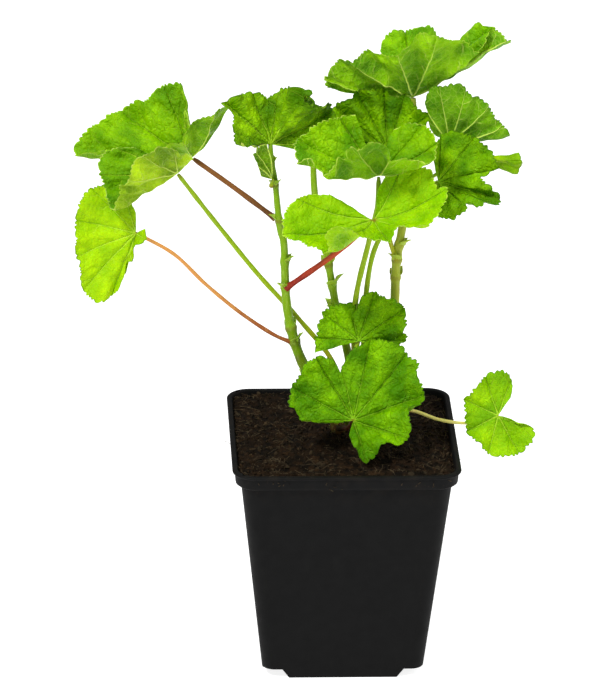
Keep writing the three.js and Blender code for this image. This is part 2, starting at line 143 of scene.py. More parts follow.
@dataclass(frozen=True)
class PotFinish:
    """Black moulded plastic, handled and a little dusty, with a faint painted highlight along the top of its
    rim.
    """

    black: int = 0x080808
    # Paler colour of worn scuffs, also used for the painted highlight along the top of the rim.
    worn_and_sheen: int = 0x20201E
    dust: int = 0x2C241B
    rough: float = 0.6


@dataclass(frozen=True)
class SoilFinish:
    """Damp peat with paler crumbs and fibres."""

    dark: int = 0x0C0804
    brown: int = 0x20150A
    fibre: int = 0x48331E
    grit: int = 0x5C503C


@dataclass(frozen=True)
class HairFinish:
    """Fine pale hairs."""

    dull: int = 0x9AA850
    pale: int = 0xD4DC9C
    rough: float = 0.6


@dataclass(frozen=True)
class StalkPlan:
    """A leaf stalk, from a stem to the blade."""

    stem: str
    tint: Tint
    radius: float
    path: tuple[Point, ...]


@dataclass(frozen=True)
class LeafPlan:
    """A leaf: where its stalk meets the blade, and the blade's margin round from one side of the
    open heart to the other. `veins` are the places of the main veins along the margin, from 0 to 1.
    """

    name: str
    tone: Tone
    at: Point
    teeth: int
    veins: tuple[float, ...]
    margin: tuple[Point, ...]
    stalk: StalkPlan | None = None
    dish: float = -0.07


@dataclass(frozen=True)
class StemPlan:
    """A stem from its foot in the soil to its tip, with its radius at both. `joints` are the places
    along it, from 0 to 1, that carry two bracts and a bud, besides those where a stalk leaves it.
    `bract` is the length of a bract.
    """

    name: str
    radii: tuple[float, float]
    joints: tuple[float, ...]
    bract: float
    path: tuple[Point, ...]


STEMS = (
    StemPlan(
        "stem_left", (2.8, 0.9), (0.36, 0.5, 0.68, 0.8, 0.9, 0.95), 4.6,
        ((-1, 1, 64), (-1, 1, 90), (-6.5, 2, 106.5), (-16.5, 2, 122.5), (-22.5, 2, 144.5),
            (-24.5, 2, 174.5), (-25.5, 2, 177.5), (-27, 2, 189), (-28, 2, 199), (-29.5, 2, 208),
            (-30, 2, 214.5)),
    ),
    StemPlan(
        "stem_middle", (1.9, 1.2), (0.55, 0.62, 0.68, 0.75), 6.5,
        ((3, 8, 64), (3, 8, 90), (2.5, 6, 119.5), (-3.5, 5, 146.5), (-7.5, 6, 168.5), (-12, 8, 190.5),
            (-13, 10, 208.5)),
    ),
    StemPlan(
        "stem_right", (2.3, 1.3), (0.45, 0.56, 0.64, 0.8), 5.2,
        ((8, 3, 64), (8, 3, 90), (13.5, 7, 117), (19.5, 8, 138), (20.5, 8, 162), (22.5, 9, 176),
            (26, 11, 196), (27, 12, 208), (26, 14, 229)),
    ),
)

LEAVES = (
    LeafPlan(
        "upper_left", Tone.FRESH, at=(-60, 12, 205.5), teeth=24,
        veins=(0.03, 0.13, 0.25, 0.38, 0.55, 0.72, 0.84, 0.945),
        margin=((-62, 25, 225.5), (-62, 21, 220.5), (-63.5, 16, 216), (-64, 28, 230), (-73, 31, 227.5),
            (-78, 32, 221.5), (-84, 32, 220.5), (-90.5, 30, 217.5), (-97, 26, 214), (-102.5, 22, 211.5),
            (-106, 19, 207.5), (-96, 12, 208), (-86.5, 6, 207.5), (-76, 2, 209), (-67.5, 1, 214),
            (-60.5, 2, 222), (-57, 2.5, 225), (-53, 3, 228), (-49.5, 4.5, 229.5), (-45.5, 6, 227.5)),
        stalk=StalkPlan("stem_left", Tint.BROWN, 1.2, ((-27.5, 4, 182.5), (-43, 8, 193.5))),
    ),
    LeafPlan(
        "left_turned", Tone.UNDER, at=(-66.5, -12, 208), teeth=20, dish=-0.02,
        veins=(0.1, 0.25, 0.42, 0.62, 0.74, 0.88),
        margin=((-81, -8, 216), (-89.5, -6, 216.5), (-96, -6, 213), (-97, -8, 208.5), (-95, -12, 202.5),
            (-92.5, -19, 196.5), (-88, -27, 207), (-85, -31, 215.5), (-79.5, -30, 223), (-70, -27, 223.5),
            (-60.5, -20, 217)),
        stalk=StalkPlan("stem_middle", Tint.GREEN, 1.1, ((2.5, 8, 99.5), (-4, 9, 119.5), (-17, 8, 137.5),
                (-34, 5, 158.5), (-49.5, 0, 180.5))),
    ),
    LeafPlan(
        "left_crown", Tone.FRESH, at=(-30, 2, 214.5), teeth=22, dish=0.02,
        veins=(0.07, 0.2, 0.32, 0.43, 0.56, 0.67, 0.78, 0.96),
        margin=((-16.5, 5, 210.5), (-6.5, 9, 213.5), (-4, 13, 221), (-6, 13, 227), (-10.5, 8, 228.5),
            (-15.5, -2, 233.5), (-18, -1, 236), (-17.5, 0, 238), (-20, 3, 238), (-26.5, 7, 235.5),
            (-31, 9, 231), (-35.5, 7, 234.5), (-40.5, 4, 235), (-46, -1, 234.5), (-47.5, -4, 232.5),
            (-46.5, -6, 227.5), (-45, -8, 222), (-44, -11, 221), (-38, -8, 218.5)),
    ),
    LeafPlan(
        "left_young", Tone.FRESH, at=(-29.5, -2, 201.5), teeth=7,
        veins=(0.25, 0.5, 0.75),
        margin=((-33.5, -5, 203.5), (-35.5, -7, 210), (-36.5, -7, 214.5), (-34, -4, 216.5), (-31, -1, 210)),
        stalk=StalkPlan("stem_left", Tint.GREEN, 0.8, ((-29.5, 1, 197.5),)),
    ),
    LeafPlan(
        "far_left", Tone.BRIGHT, at=(-82.5, -12, 183), teeth=22,
        veins=(0.08, 0.2, 0.33, 0.46, 0.58, 0.7, 0.85, 0.96),
        margin=((-83, -9, 190.5), (-85, -9, 196), (-90.5, -9, 200.5), (-97.5, -9, 201.5),
            (-103.5, -10, 197.5), (-105.5, -11, 191.5), (-106.5, -13, 181.5), (-106, -14, 175.5),
            (-104.5, -15, 169.5), (-104, -16, 163.5), (-101, -17, 158.5), (-97.5, -17, 156),
            (-93.5, -16, 156.5), (-89.5, -14, 160), (-87, -11, 165), (-83, -14, 176), (-79.5, -16, 181.5),
            (-78.5, -16, 186.5)),
        stalk=StalkPlan("stem_left", Tint.TAN, 0.9, ((-20.5, 1.5, 131), (-27, 0, 134.5), (-41, -3, 145.5),
                (-55, -6, 159), (-67.5, -8, 172.5))),
    ),
    LeafPlan(
        "middle", Tone.BRIGHT, at=(9.5, -22, 192), teeth=30, dish=-0.1,
        veins=(0.07, 0.17, 0.26, 0.36, 0.5, 0.6, 0.7, 0.8, 0.93),
        margin=((4, -17, 187.5), (2.5, -16, 190.5), (0, -15.5, 194), (-3, -15, 196.5), (-9, -16, 200),
            (-17, -18, 201), (-23, -21, 198), (-26.5, -24, 192.5), (-25.5, -27, 189), (-20, -30, 186.5),
            (-16.5, -33, 184.5), (-9.5, -38, 186.5), (-8.5, -42, 193.5), (-5, -45, 198.5),
            (-0.5, -45.5, 198.5), (4, -43, 193.5), (9.5, -39, 190), (15, -37, 190), (19, -35, 193.5),
            (27, -32, 194), (35, -28, 196.5), (38, -24, 200.5), (37, -21, 205), (34, -20, 204.5),
            (31.5, -15.5, 210.5), (23, -13.5, 211), (15.5, -14.5, 208.5), (11, -18, 204)),
        stalk=StalkPlan("stem_left", Tint.RED, 1.3, ((-23, 1, 154.5), (-5.5, -12, 173.5))),
    ),
    LeafPlan(
        "centre", Tone.BRIGHT, at=(11.5, -14, 207.5), teeth=28, dish=-0.04,
        veins=(0.04, 0.19, 0.27, 0.36, 0.5, 0.62, 0.75, 0.83, 0.92),
        margin=((2.5, -1, 227.5), (-3, -2, 227.5), (-12, -5, 225.5), (-18.5, -10, 222.5), (-22.5, -14, 219),
            (-18.5, -20, 216.5), (-14, -25, 214.5), (-5, -30, 218), (0, -33, 226), (7, -34, 228.5),
            (13, -33, 226.5), (18, -30, 220.5), (25, -25, 217.5), (32.5, -20, 217), (33.5, -16, 222),
            (30.5, -10, 226), (24.5, -5, 226), (18.5, -3, 222)),
        stalk=StalkPlan("stem_right", Tint.GREEN, 1.3, ((8, 3, 98), (5, 0, 114.5), (4, 1, 146.5),
                (8.5, -6, 176), (11.5, -11, 194))),
    ),
    LeafPlan(
        "centre_pleated", Tone.DEEP, at=(16, 0, 212), teeth=18,
        veins=(0.1, 0.27, 0.42, 0.58, 0.74, 0.9),
        margin=((32.5, 2, 221), (31.5, 5, 224.5), (27, 8, 228.5), (23, 9, 232), (18, 9, 231.5),
            (14.5, 9.5, 234.5), (10.5, 9.5, 235), (5.5, 9.5, 234), (1, 8.5, 232), (-4.5, 7, 228.5),
            (-5.5, 3, 224.5), (-1, 3, 215.5)),
        stalk=StalkPlan("stem_right", Tint.GREEN, 1.1, ((20.5, 7, 163.5), (17.5, 7, 173), (16, 4, 192))),
    ),
    LeafPlan(
        "top", Tone.UNDER, at=(26, 14, 229.5), teeth=30, dish=-0.02,
        veins=(0.01, 0.07, 0.17, 0.28, 0.38, 0.49, 0.56, 0.67, 0.8, 0.92),
        margin=((-0.5, 18.5, 230.5), (-8, 19, 233), (-7.5, 14, 239.5), (-2, 8, 246), (6, 2, 251.5),
            (13.5, -2, 253), (21, -5, 256.5), (28.5, -6, 263), (34.5, -4, 261), (43.5, 0, 256.5),
            (50.5, 4, 253), (56.5, 6, 259), (62.5, 9, 256), (64, 12, 252), (59, 17, 256), (54.5, 21, 257.5),
            (50, 25, 253.5), (46.5, 29, 245.5), (41.5, 32, 242.5), (37.5, 34, 246), (31.5, 36, 250.5),
            (22.5, 36, 250.5), (16.5, 34, 247.5), (14.5, 31, 242)),
    ),
    LeafPlan(
        "right_upper", Tone.UNDER, at=(41, 14, 210.5), teeth=18,
        veins=(0.13, 0.28, 0.41, 0.55, 0.7),
        margin=((33, 11, 217.5), (31.5, 9, 225), (30.5, 8, 230.5), (32.5, 7, 235.5), (37.5, 6, 237.5),
            (44.5, 6, 237), (48, 6, 233.5), (54.5, 8, 229.5), (58, 10, 223), (64, 14, 214.5),
            (59, 21, 209.5), (53, 26, 205.5)),
        stalk=StalkPlan("stem_right", Tint.GREEN, 1, ((26, 12, 197.5), (33, 14, 207.5))),
    ),
    LeafPlan(
        "right", Tone.DEEP, at=(35.5, -2, 200.5), teeth=24,
        veins=(0.07, 0.22, 0.4, 0.6, 0.77, 0.92),
        margin=((32.5, -11, 195.5), (34.5, -12, 191.5), (37.5, -13, 189.5), (41.5, -14, 188.5),
            (45, -14, 191), (46.5, -12, 194.5), (50.5, -12, 193.5), (54.5, -11, 192), (58.5, -9, 194.5),
            (58.5, -7, 197.5), (55.5, -6, 201), (52, -4, 203.5), (58.5, -3, 206), (58, -1, 210),
            (55, 1, 213.5), (49.5, 3, 217), (44, 5, 218.5), (39, 6, 218), (35.5, 5, 215), (33, 4, 210.5)),
        stalk=StalkPlan("stem_right", Tint.GREEN, 1.2, ((10, 4.5, 103), (8, 4, 125), (8.5, 4.5, 150),
                (12.5, 4, 172), (24, 0, 189.5))),
    ),
    LeafPlan(
        "right_young", Tone.BRIGHT, at=(41.5, 8, 204), teeth=6,
        veins=(0.3, 0.7),
        margin=((68, 11, 200), (69, 5, 205.5), (68, 10, 206.5)),
        stalk=StalkPlan("stem_right", Tint.GREEN, 0.8, ((25, 11, 192.5), (34, 10, 197.5))),
    ),
    LeafPlan(
        "behind_centre", Tone.DEEP, at=(-13, 10, 208.5), teeth=15,
        veins=(0.1, 0.3, 0.5, 0.7, 0.9),
        margin=((1, 18, 205), (3, 23, 212.5), (0, 26, 219), (-6.5, 28, 220), (-12.5, 28, 219),
            (-17.5, 25, 214), (-19, 20, 207)),
    ),
    LeafPlan(
        "lower", Tone.FRESH, at=(5.5, -6, 134.5), teeth=20,
        veins=(0.1, 0.28, 0.45, 0.62, 0.8, 0.93),
        margin=((16, -7, 131), (24.5, -8, 136.5), (23.5, -8, 140), (24.5, -7, 143.5), (23, -5, 148),
            (20, -3, 151), (15.5, -2, 152), (10.5, -1, 153), (6.5, -1, 151.5), (3, -3, 145), (1, -2, 148.5),
            (-3, -3, 149.5), (-7.5, -5, 147.5), (-11, -7, 143), (-11.5, -8, 138), (-12.5, -10, 131.5)),
        stalk=StalkPlan("stem_left", Tint.GREEN, 1.1, ((-2.5, 0, 97), (0, -3, 116.5))),
    ),
    LeafPlan(
        "front", Tone.FRESH, at=(3, -20, 106.5), teeth=28,
        veins=(0.08, 0.2, 0.33, 0.45, 0.56, 0.67, 0.76, 0.86, 0.96),
        margin=((1, -26, 102.5), (3, -31, 100), (6.5, -34, 97), (12, -34, 98), (15.5, -33, 101),
            (20, -32, 101.5), (25, -29, 106.5), (25, -26, 112.5), (29, -24, 113.5), (30, -20, 120.5),
            (28.5, -18, 125), (29, -16, 129.5), (24.5, -15, 131.5), (20.5, -14, 137), (13.5, -13, 138.5),
            (6.5, -12, 136.5), (1.5, -12, 132.5), (-2, -14, 125), (-5, -13, 129.5), (-9.5, -13, 131.5),
            (-15.5, -15, 129.5), (-19, -17, 125), (-22, -20, 118), (-22.5, -22, 113.5), (-17, -25, 109.5),
            (-11, -26, 107.5)),
        stalk=StalkPlan("stem_left", Tint.RED, 1.3, ((-1.5, -0.5, 95), (1.5, -11, 99.5))),
    ),
    LeafPlan(
        "low_right", Tone.BRIGHT, at=(61.5, -4, 101.5), teeth=20,
        veins=(0.08, 0.22, 0.36, 0.5, 0.64, 0.78, 0.92),
        margin=((66.5, 0, 107.5), (67, 3, 114), (64, 4, 117.5), (58.5, 3, 117), (53.5, 1, 114),
            (48.5, -3, 108), (47.5, -5, 102), (49, -8, 96.5), (53.5, -11, 91), (60, -12, 87.5),
            (67.5, -11, 87), (73.5, -9, 90.5), (76, -8, 93.5), (73, -7, 98), (68, -6, 100.5)),
        stalk=StalkPlan("stem_right", Tint.CREAM, 0.8, ((8, 2, 96), (14, -3, 101), (26, -3, 103.5),
                (38, -2, 99), (48, -1, 97), (56, 0, 97.5))),
    ),
)


@dataclass(frozen=True)
class Ripples:
    """A smooth uneven field: a sum of waves about `length` long in seeded directions."""

    seed: int
    length: float
    height: float
    waves: int = 14

    def at(self, points: np.ndarray) -> np.ndarray:
        """Value of the field.

        Args:
            points: Places in millimetres, one row each.

        Returns:
            One height for each row.
        """
        chance = np.random.default_rng(self.seed)
        turn = chance.normal(size=(self.waves, points.shape[1]))
        turn /= np.linalg.norm(turn, axis=1, keepdims=True)
        pace = 2 * math.pi / (self.length * chance.uniform(0.6, 1.6, self.waves))
        shift = chance.uniform(0, 2 * math.pi, self.waves)
        waves = np.sin(points @ (turn * pace[:, None]).T + shift)
        return waves.sum(axis=1) * self.height * math.sqrt(2 / self.waves)


def smooth(value: np.ndarray, low: float, high: float) -> np.ndarray:
    """Rise smoothly from 0 at `low` to 1 at `high`."""
    t = np.clip((value - low) / (high - low), 0, 1)
    return t * t * (3 - 2 * t)


def curve(points: Sequence[Point], places: np.ndarray) -> np.ndarray:
    """Points of the centripetal curve through the given ones.

    Args:
        points: The points that the curve passes.
        places: Where to read it, from 0 to 1 of its length.

    Returns:
        One row for each place.
    """
    p = np.array(points, float)
    p = np.vstack([2 * p[0] - p[1], p, 2 * p[-1] - p[-2]])
    w = np.linspace(0, 1, 40, endpoint=False)[:, None]
    dense = []
    for p0, p1, p2, p3 in zip(p, p[1:], p[2:], p[3:]):
        d0, d1, d2 = (math.sqrt(float(np.linalg.norm(b - a))) for a, b in ((p0, p1), (p1, p2), (p2, p3)))
        t1 = ((p1 - p0) / d0 - (p2 - p0) / (d0 + d1) + (p2 - p1) / d1) * d1
        t2 = ((p2 - p1) / d1 - (p3 - p1) / (d1 + d2) + (p3 - p2) / d2) * d1
        dense.append(p1 + t1 * w + (-3 * p1 + 3 * p2 - 2 * t1 - t2) * w ** 2
                     + (2 * p1 - 2 * p2 + t1 + t2) * w ** 3)
    line = np.vstack([*dense, p[-2]])
    run = np.concatenate([[0], np.cumsum(np.linalg.norm(np.diff(line, axis=0), axis=1))])
    return np.stack([np.interp(np.asarray(places) * run[-1], run, line[:, k]) for k in range(3)], axis=1)


def length_of(line: np.ndarray) -> float:
    """Length of a line of points."""
    return float(np.linalg.norm(np.diff(line, axis=0), axis=1).sum())


def unit(rows: np.ndarray) -> np.ndarray:
    """The same vectors, a unit long."""
    return rows / np.maximum(np.linalg.norm(rows, axis=-1, keepdims=True), 1e-9)


@dataclass
class Skin:
    """A closed mesh in millimetres, with the values that its finish reads at its points."""

    points: list[np.ndarray] = field(default_factory=list)
    faces: list[np.ndarray] = field(default_factory=list)
    values: dict[str, list[np.ndarray]] = field(default_factory=dict)
    count: int = 0

    def add(self, points: np.ndarray, faces: np.ndarray, **values: np.ndarray) -> int:
        """Add a closed shell.

        Args:
            points: Its points, one row each.
            faces: Its faces, as rows of its own point numbers; a triangle repeats none.
            values: Three numbers a point, by the name of the attribute.

        Returns:
            The number that its first point gets.
        """
        first = self.count
        self.points.append(points)
        self.faces.append(np.asarray(faces) + first)
        for name, rows in values.items():
            self.values.setdefault(name, []).append(rows)
        self.count += len(points)
        return first

    def piece(self, name: str, material: bpy.types.Material, crease: float = 60.0,
              plane: np.ndarray | None = None) -> bpy.types.Object:
        """Make the mesh object, in metres.

        Args:
            name: Name of the object.
            material: Its finish.
            crease: Edges sharper than this many degrees are shaded as edges.
            plane: Two numbers a point for the UV map "Plane".

        Returns:
            The object, in the scene.
        """
        mesh = bpy.data.meshes.new(name)
        faces = [row.tolist() for block in self.faces for row in block]
        mesh.from_pydata((np.vstack(self.points) * MM).tolist(), [], faces)
        for key, blocks in self.values.items():
            layer = mesh.attributes.new(key, "FLOAT_VECTOR", "POINT")
            layer.data.foreach_set("vector", np.vstack(blocks).astype(np.float32).ravel())
        if plane is not None:
            corners = np.empty(len(mesh.loops), np.int32)
            mesh.loops.foreach_get("vertex_index", corners)
            layer = mesh.uv_layers.new(name="Plane")
            layer.uv.foreach_set("vector", plane[corners].astype(np.float32).ravel())
        mesh.shade_smooth()
        mesh.set_sharp_from_angle(angle=math.radians(crease))
        return dress(bpy.data.objects.new(name, mesh), material)


def dress(obj: bpy.types.Object, material: bpy.types.Material) -> bpy.types.Object:
    """Give an object its only material and put it in the scene.

    Args:
        obj: A mesh object.
        material: Its finish.

    Returns:
        The same object.
    """
    obj.data.materials.clear()
    obj.data.materials.append(material)
    bpy.context.scene.collection.objects.link(obj)
    return obj


def keep(obj: bpy.types.Object, slot: str, *nodes: str) -> bpy.types.Object:
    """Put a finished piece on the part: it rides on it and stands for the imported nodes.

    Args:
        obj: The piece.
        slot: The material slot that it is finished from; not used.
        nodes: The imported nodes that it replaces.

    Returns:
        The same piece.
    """
    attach(obj, BODY)
    if nodes:
        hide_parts(*nodes)
    log.info("%s: %d faces", obj.name, len(obj.data.polygons))
    return obj


def ring_faces(rows: int, sides: int) -> np.ndarray:
    """Faces between closed rings of points, the rings numbered one after the other.

    Args:
        rows: Number of rings.
        sides: Number of points in a ring.

    Returns:
        Four point numbers for each face.
    """
    i, k = np.meshgrid(np.arange(rows - 1), np.arange(sides), indexing="ij")
    a, b = i * sides + k, i * sides + (k + 1) % sides
    return np.stack([a, b, b + sides, a + sides], axis=-1).reshape(-1, 4)


def end_faces(rows: int, sides: int) -> np.ndarray:
    """Faces that close the first and the last ring round the two points that follow the rings.

    Args:
        rows: Number of rings.
        sides: Number of points in a ring.

    Returns:
        Three point numbers for each face.
    """
    k = np.arange(sides)
    after = (k + 1) % sides
    near, last = np.full(sides, rows * sides), (rows - 1) * sides
    first, final = [near, after, k], [near + 1, last + k, last + after]
    return np.vstack([np.stack(first, axis=1), np.stack(final, axis=1)])


def frames(line: np.ndarray) -> tuple[np.ndarray, np.ndarray, np.ndarray]:
    """Directions along and across a line that turn with it and don't twist.

    Args:
        line: Points of the line.

    Returns:
        The unit vectors along it, across it and beside it, a row for each point.
    """
    along = np.gradient(line, axis=0)
    along /= np.linalg.norm(along, axis=1, keepdims=True)
    across = np.empty_like(line)
    last = np.array([1.0, 0.0, 0.0])
    for i, way in enumerate(along):
        last = last - way * (last @ way)
        last /= np.linalg.norm(last)
        across[i] = last
    return along, across, np.cross(along, across)


def rod(skin: Skin, line: np.ndarray, radii: np.ndarray, sides: int, ribs: float = 0.0,
        marks: np.ndarray | None = None) -> None:
    """Add a closed round rod along a line, with blunt ends.

    Args:
        skin: The mesh that gets it.
        line: Points of its axis.
        radii: Its radius at each point.
        sides: Number of sides.
        ribs: Depth of the five shallow ribs along it, as a part of the radius.
        marks: How near a joint each point is, from 0 to 1, or -1 on a bud.
    """
    _, across, beside = frames(line)
    angle = np.arange(sides) * 2 * math.pi / sides
    reach = radii[:, None] * (1 + ribs * np.cos(angle * 5)[None, :])
    rings = (line[:, None] + across[:, None] * (reach * np.cos(angle))[..., None]
             + beside[:, None] * (reach * np.sin(angle))[..., None])
    n = len(line)
    run = np.concatenate([[0], np.cumsum(np.linalg.norm(np.diff(line, axis=0), axis=1))])
    mark = np.zeros(n) if marks is None else marks
    values = np.repeat(np.stack([run / run[-1], mark, np.zeros(n)], axis=1), sides, axis=0)
    points = np.vstack([rings.reshape(-1, 3), line[0], line[-1]])
    first = skin.add(points, ring_faces(n, sides), stem=np.vstack([values, values[0], values[-1]]))
    skin.faces.append(end_faces(n, sides) + first)


def facing(plan: LeafPlan) -> np.ndarray:
    """The mean direction that the upper face of a blade looks in.

    Args:
        plan: The leaf.

    Returns:
        A unit vector.
    """
    edge = np.array(plan.margin, float) - np.array(plan.at, float)
    return unit(np.cross(edge[:-1], edge[1:]).sum(axis=0))


@dataclass
class Blade:
    """A leaf blade: a pleated fan round the tip of its stalk, veined on both faces. Its mesh has a
    column of points every `column` along the margin and a ring every `ring` from the stalk.
    """

    plan: LeafPlan
    finish: LeafFinish
    seed: int
    column: float = 0.42
    ring: float = 1.2
    thickness: float = 0.42
    rim_part: float = 0.45
    tooth: float = 1.0
    tooth_pitch: float = 2.4
    lobe: float = 0.3
    beyond: float = 0.4
    fold: float = 0.13
    puff: float = 0.34
    rumple: float = 0.42
    wrinkle: float = 0.28
    vein_height: float = 0.42
    vein_groove: float = 0.15
    skin: Skin = field(default_factory=Skin)

    def columns(self) -> tuple[np.ndarray, float]:
        """Places of the mesh columns along the margin, one on each main vein.

        Returns:
            The places from 0 to 1, and the length of the margin.
        """
        length = length_of(curve(self.plan.margin, np.linspace(0, 1, 400)))
        places = np.linspace(0, 1, int(length / self.column) + 1)
        for vein in self.plan.veins:
            places[np.argmin(np.abs(places - vein))] = vein
        return places, length

    def cells(self, angle: np.ndarray, places: np.ndarray) -> tuple[np.ndarray, np.ndarray, np.ndarray]:
        """Where each column lies between the main veins.

        Args:
            angle: The angle of each column round the stalk, in the flattened blade.
            places: The columns' places along the margin.

        Returns:
            The angle to the nearest vein, the part of the way from one vein to the next, and the
            angle between those two.
        """
        veins = np.interp(self.plan.veins, places, angle)
        veins = np.concatenate([[-veins[0] - 0.05], veins, [2 * angle[-1] - veins[-1] + 0.05]])
        left = np.clip(np.searchsorted(veins, angle, side="right") - 1, 0, len(veins) - 2)
        width = veins[left + 1] - veins[left]
        part = (angle - veins[left]) / width
        return np.minimum(part, 1 - part) * width, part, width

    def teeth(self, places: np.ndarray, length: float) -> np.ndarray:
        """How far the margin lies inside the plan's at each column, where teeth and lobes cut it.

        Args:
            places: The columns' places along the margin.
            length: Length of the margin.

        Returns:
            The depths, in millimetres.
        """
        wobble = Ripples(self.seed, 9.0, 0.35).at((places * length)[:, None])
        count = max(3, round(length / self.tooth_pitch))
        fine = 1 - np.abs(np.sin(math.pi * (places * count + wobble)))
        broad = 0.5 - 0.5 * np.cos(2 * math.pi * places * self.plan.teeth)
        ends = smooth(np.minimum(places, 1 - places) * length, 0.5, 6)
        return (self.tooth * fine ** 1.4 + self.lobe * broad - self.beyond) * ends

    def normals(self, base: np.ndarray, inner: np.ndarray) -> np.ndarray:
        """Directions across the blade, evened out along its rings.

        Args:
            base: Points of the blade, by ring and column.
            inner: How far each follows the surface, from 0 at the stalk to 1.

        Returns:
            Unit vectors, by ring and column.
        """
        normal = unit(np.cross(np.gradient(base, axis=0), np.gradient(base, axis=1)))
        for _ in range(3):
            normal[:, 1:-1] = normal[:, 1:-1] + normal[:, :-2] + normal[:, 2:]
            normal = unit(normal)
        return unit(normal * inner + facing(self.plan) * (1 - inner))

    def build(self, material: bpy.types.Material) -> bpy.types.Object:
        """Make the blade.

        Args:
            material: Its finish.

        Returns:
            The blade's object.
        """
        plan = self.plan
        centre = np.array(plan.at, float)
        up = facing(plan)
        places, length = self.columns()
        spoke = curve(plan.margin, places) - centre
        reach = np.linalg.norm(spoke, axis=1)
        way = spoke / reach[:, None]
        turn = np.arccos(np.clip((way[:-1] * way[1:]).sum(axis=1), -1, 1))
        angle = np.concatenate([[0], np.cumsum(turn)])
        aside, part, width = self.cells(angle, places)
        rings = max(8, int(reach.max() / self.ring))
        t = (1 - (1 - np.linspace(0.03, 1, rings)) ** 1.25)[:, None]
        away = t * reach
        left = reach - away
        flat = t * (1 - self.teeth(places, length) / reach * t ** np.maximum(4, reach / 2.2))
        dish = plan.dish * np.sin(math.pi * t) * reach
        base = centre + spoke * flat[..., None] + up * dish[..., None]
        normal = self.normals(base, smooth(t, 0.02, 0.25)[..., None])

        apart = away * np.sin(np.minimum(aside, 1.3))
        run = away * np.cos(np.minimum(aside, 1.3))
        arch = np.sin(math.pi * part) ** 0.75 - 0.6
        fold = self.finish.pleat * self.fold * np.minimum(width, 0.9) * away * arch
        phase = (run - VEIN_SLANT * apart) / VEIN_SPACING + 0.5 * part
        quilt = -self.puff * self.finish.crinkle * np.cos(2 * math.pi * phase)
        quilt = quilt * smooth(apart, 0.3, 2.5) * smooth(left, 0, 3)
        spot = base.reshape(-1, 3)
        rumple = Ripples(self.seed + 1, 16, self.rumple).at(spot)
        rumple += Ripples(self.seed + 2, 6, self.wrinkle * self.finish.crinkle).at(spot)
        ruffle = Ripples(self.seed + 3, 10, self.finish.ruffle).at((places * length)[:, None]) * t ** 3
        lift = fold + (quilt + rumple.reshape(away.shape) + ruffle) * smooth(away, 1, 8)
        sheet = base + normal * lift[..., None]

        taper = self.rim_part + (1 - self.rim_part) * smooth(left, 0, 2.5)
        half = (self.thickness / 2 * taper)[..., None] * normal
        strong = 1 - 0.8 * away / reach
        vein = self.vein_height * strong * np.exp(-(apart / (0.25 + 0.4 * strong)) ** 2)
        vein = vein * smooth(away, 0.5, 4)
        upper = sheet + half - normal * (self.vein_groove * vein)[..., None]
        lower = sheet - half - normal * vein[..., None]
        self.stitch(upper, lower, (apart, run, part, left))
        plane = np.stack([away * np.cos(angle), away * np.sin(angle)], axis=-1).reshape(-1, 2)
        plane = np.concatenate([plane, plane, np.zeros((2, 2))]) * PLANE_SCALE + 0.5
        return self.skin.piece("blade_" + plan.name, material, 55, plane)

    def stitch(self, upper: np.ndarray, lower: np.ndarray, maps: Sequence[np.ndarray]) -> None:
        """Join the two faces into one closed shell.

        Args:
            upper: Points of the upper face, by ring and column.
            lower: Points of the lower face.
            maps: Distance from the nearest main vein and along it, part of the way between veins
                and distance to the margin.
        """
        rows, cols = upper.shape[:2]
        size = rows * cols
        i, k = np.meshgrid(np.arange(rows - 1), np.arange(cols - 1), indexing="ij")
        a = (i * cols + k).ravel()
        b, c, d = a + 1, a + cols, a + cols + 1
        top = np.stack([a, c, d, b], axis=1)
        bottom = np.stack([a, b, d, c], axis=1) + size
        rim = np.concatenate([np.arange(rows) * cols, (rows - 1) * cols + np.arange(1, cols),
                              (np.arange(rows - 2, -1, -1)) * cols + cols - 1])
        edge = np.stack([rim[:-1], rim[:-1] + size, rim[1:] + size, rim[1:]], axis=1)
        hub, under_hub = 2 * size, 2 * size + 1
        inner = np.arange(cols - 1)
        fan = np.concatenate([
            np.stack([np.full(cols - 1, hub), inner, inner + 1], axis=1),
            np.stack([np.full(cols - 1, under_hub), inner + 1 + size, inner + size], axis=1),
            [[hub, under_hub, size], [hub, size, 0], [hub, cols - 1, size + cols - 1],
             [hub, size + cols - 1, under_hub]],
        ])
        centre = np.array(self.plan.at, float)
        half = facing(self.plan) * self.thickness / 2
        points = np.vstack([upper.reshape(-1, 3), lower.reshape(-1, 3), centre + half, centre - half])
        rows_of = np.stack([np.broadcast_to(m, (rows, cols)).ravel() for m in maps], axis=1)
        veins = np.vstack([rows_of[:, :3], rows_of[:, :3], np.zeros((2, 3))])
        lit = np.column_stack([np.zeros(size), rows_of[:, 3], np.zeros(size)])
        hubs = np.array([[0, FAR_FROM_MARGIN, 0], [1, FAR_FROM_MARGIN, 0]])
        first = self.skin.add(points, np.concatenate([top, bottom, edge]), veins=veins,
                              blade=np.vstack([lit, lit + np.array([1, 0, 0]), hubs]))
        self.skin.faces.append(fan + first)


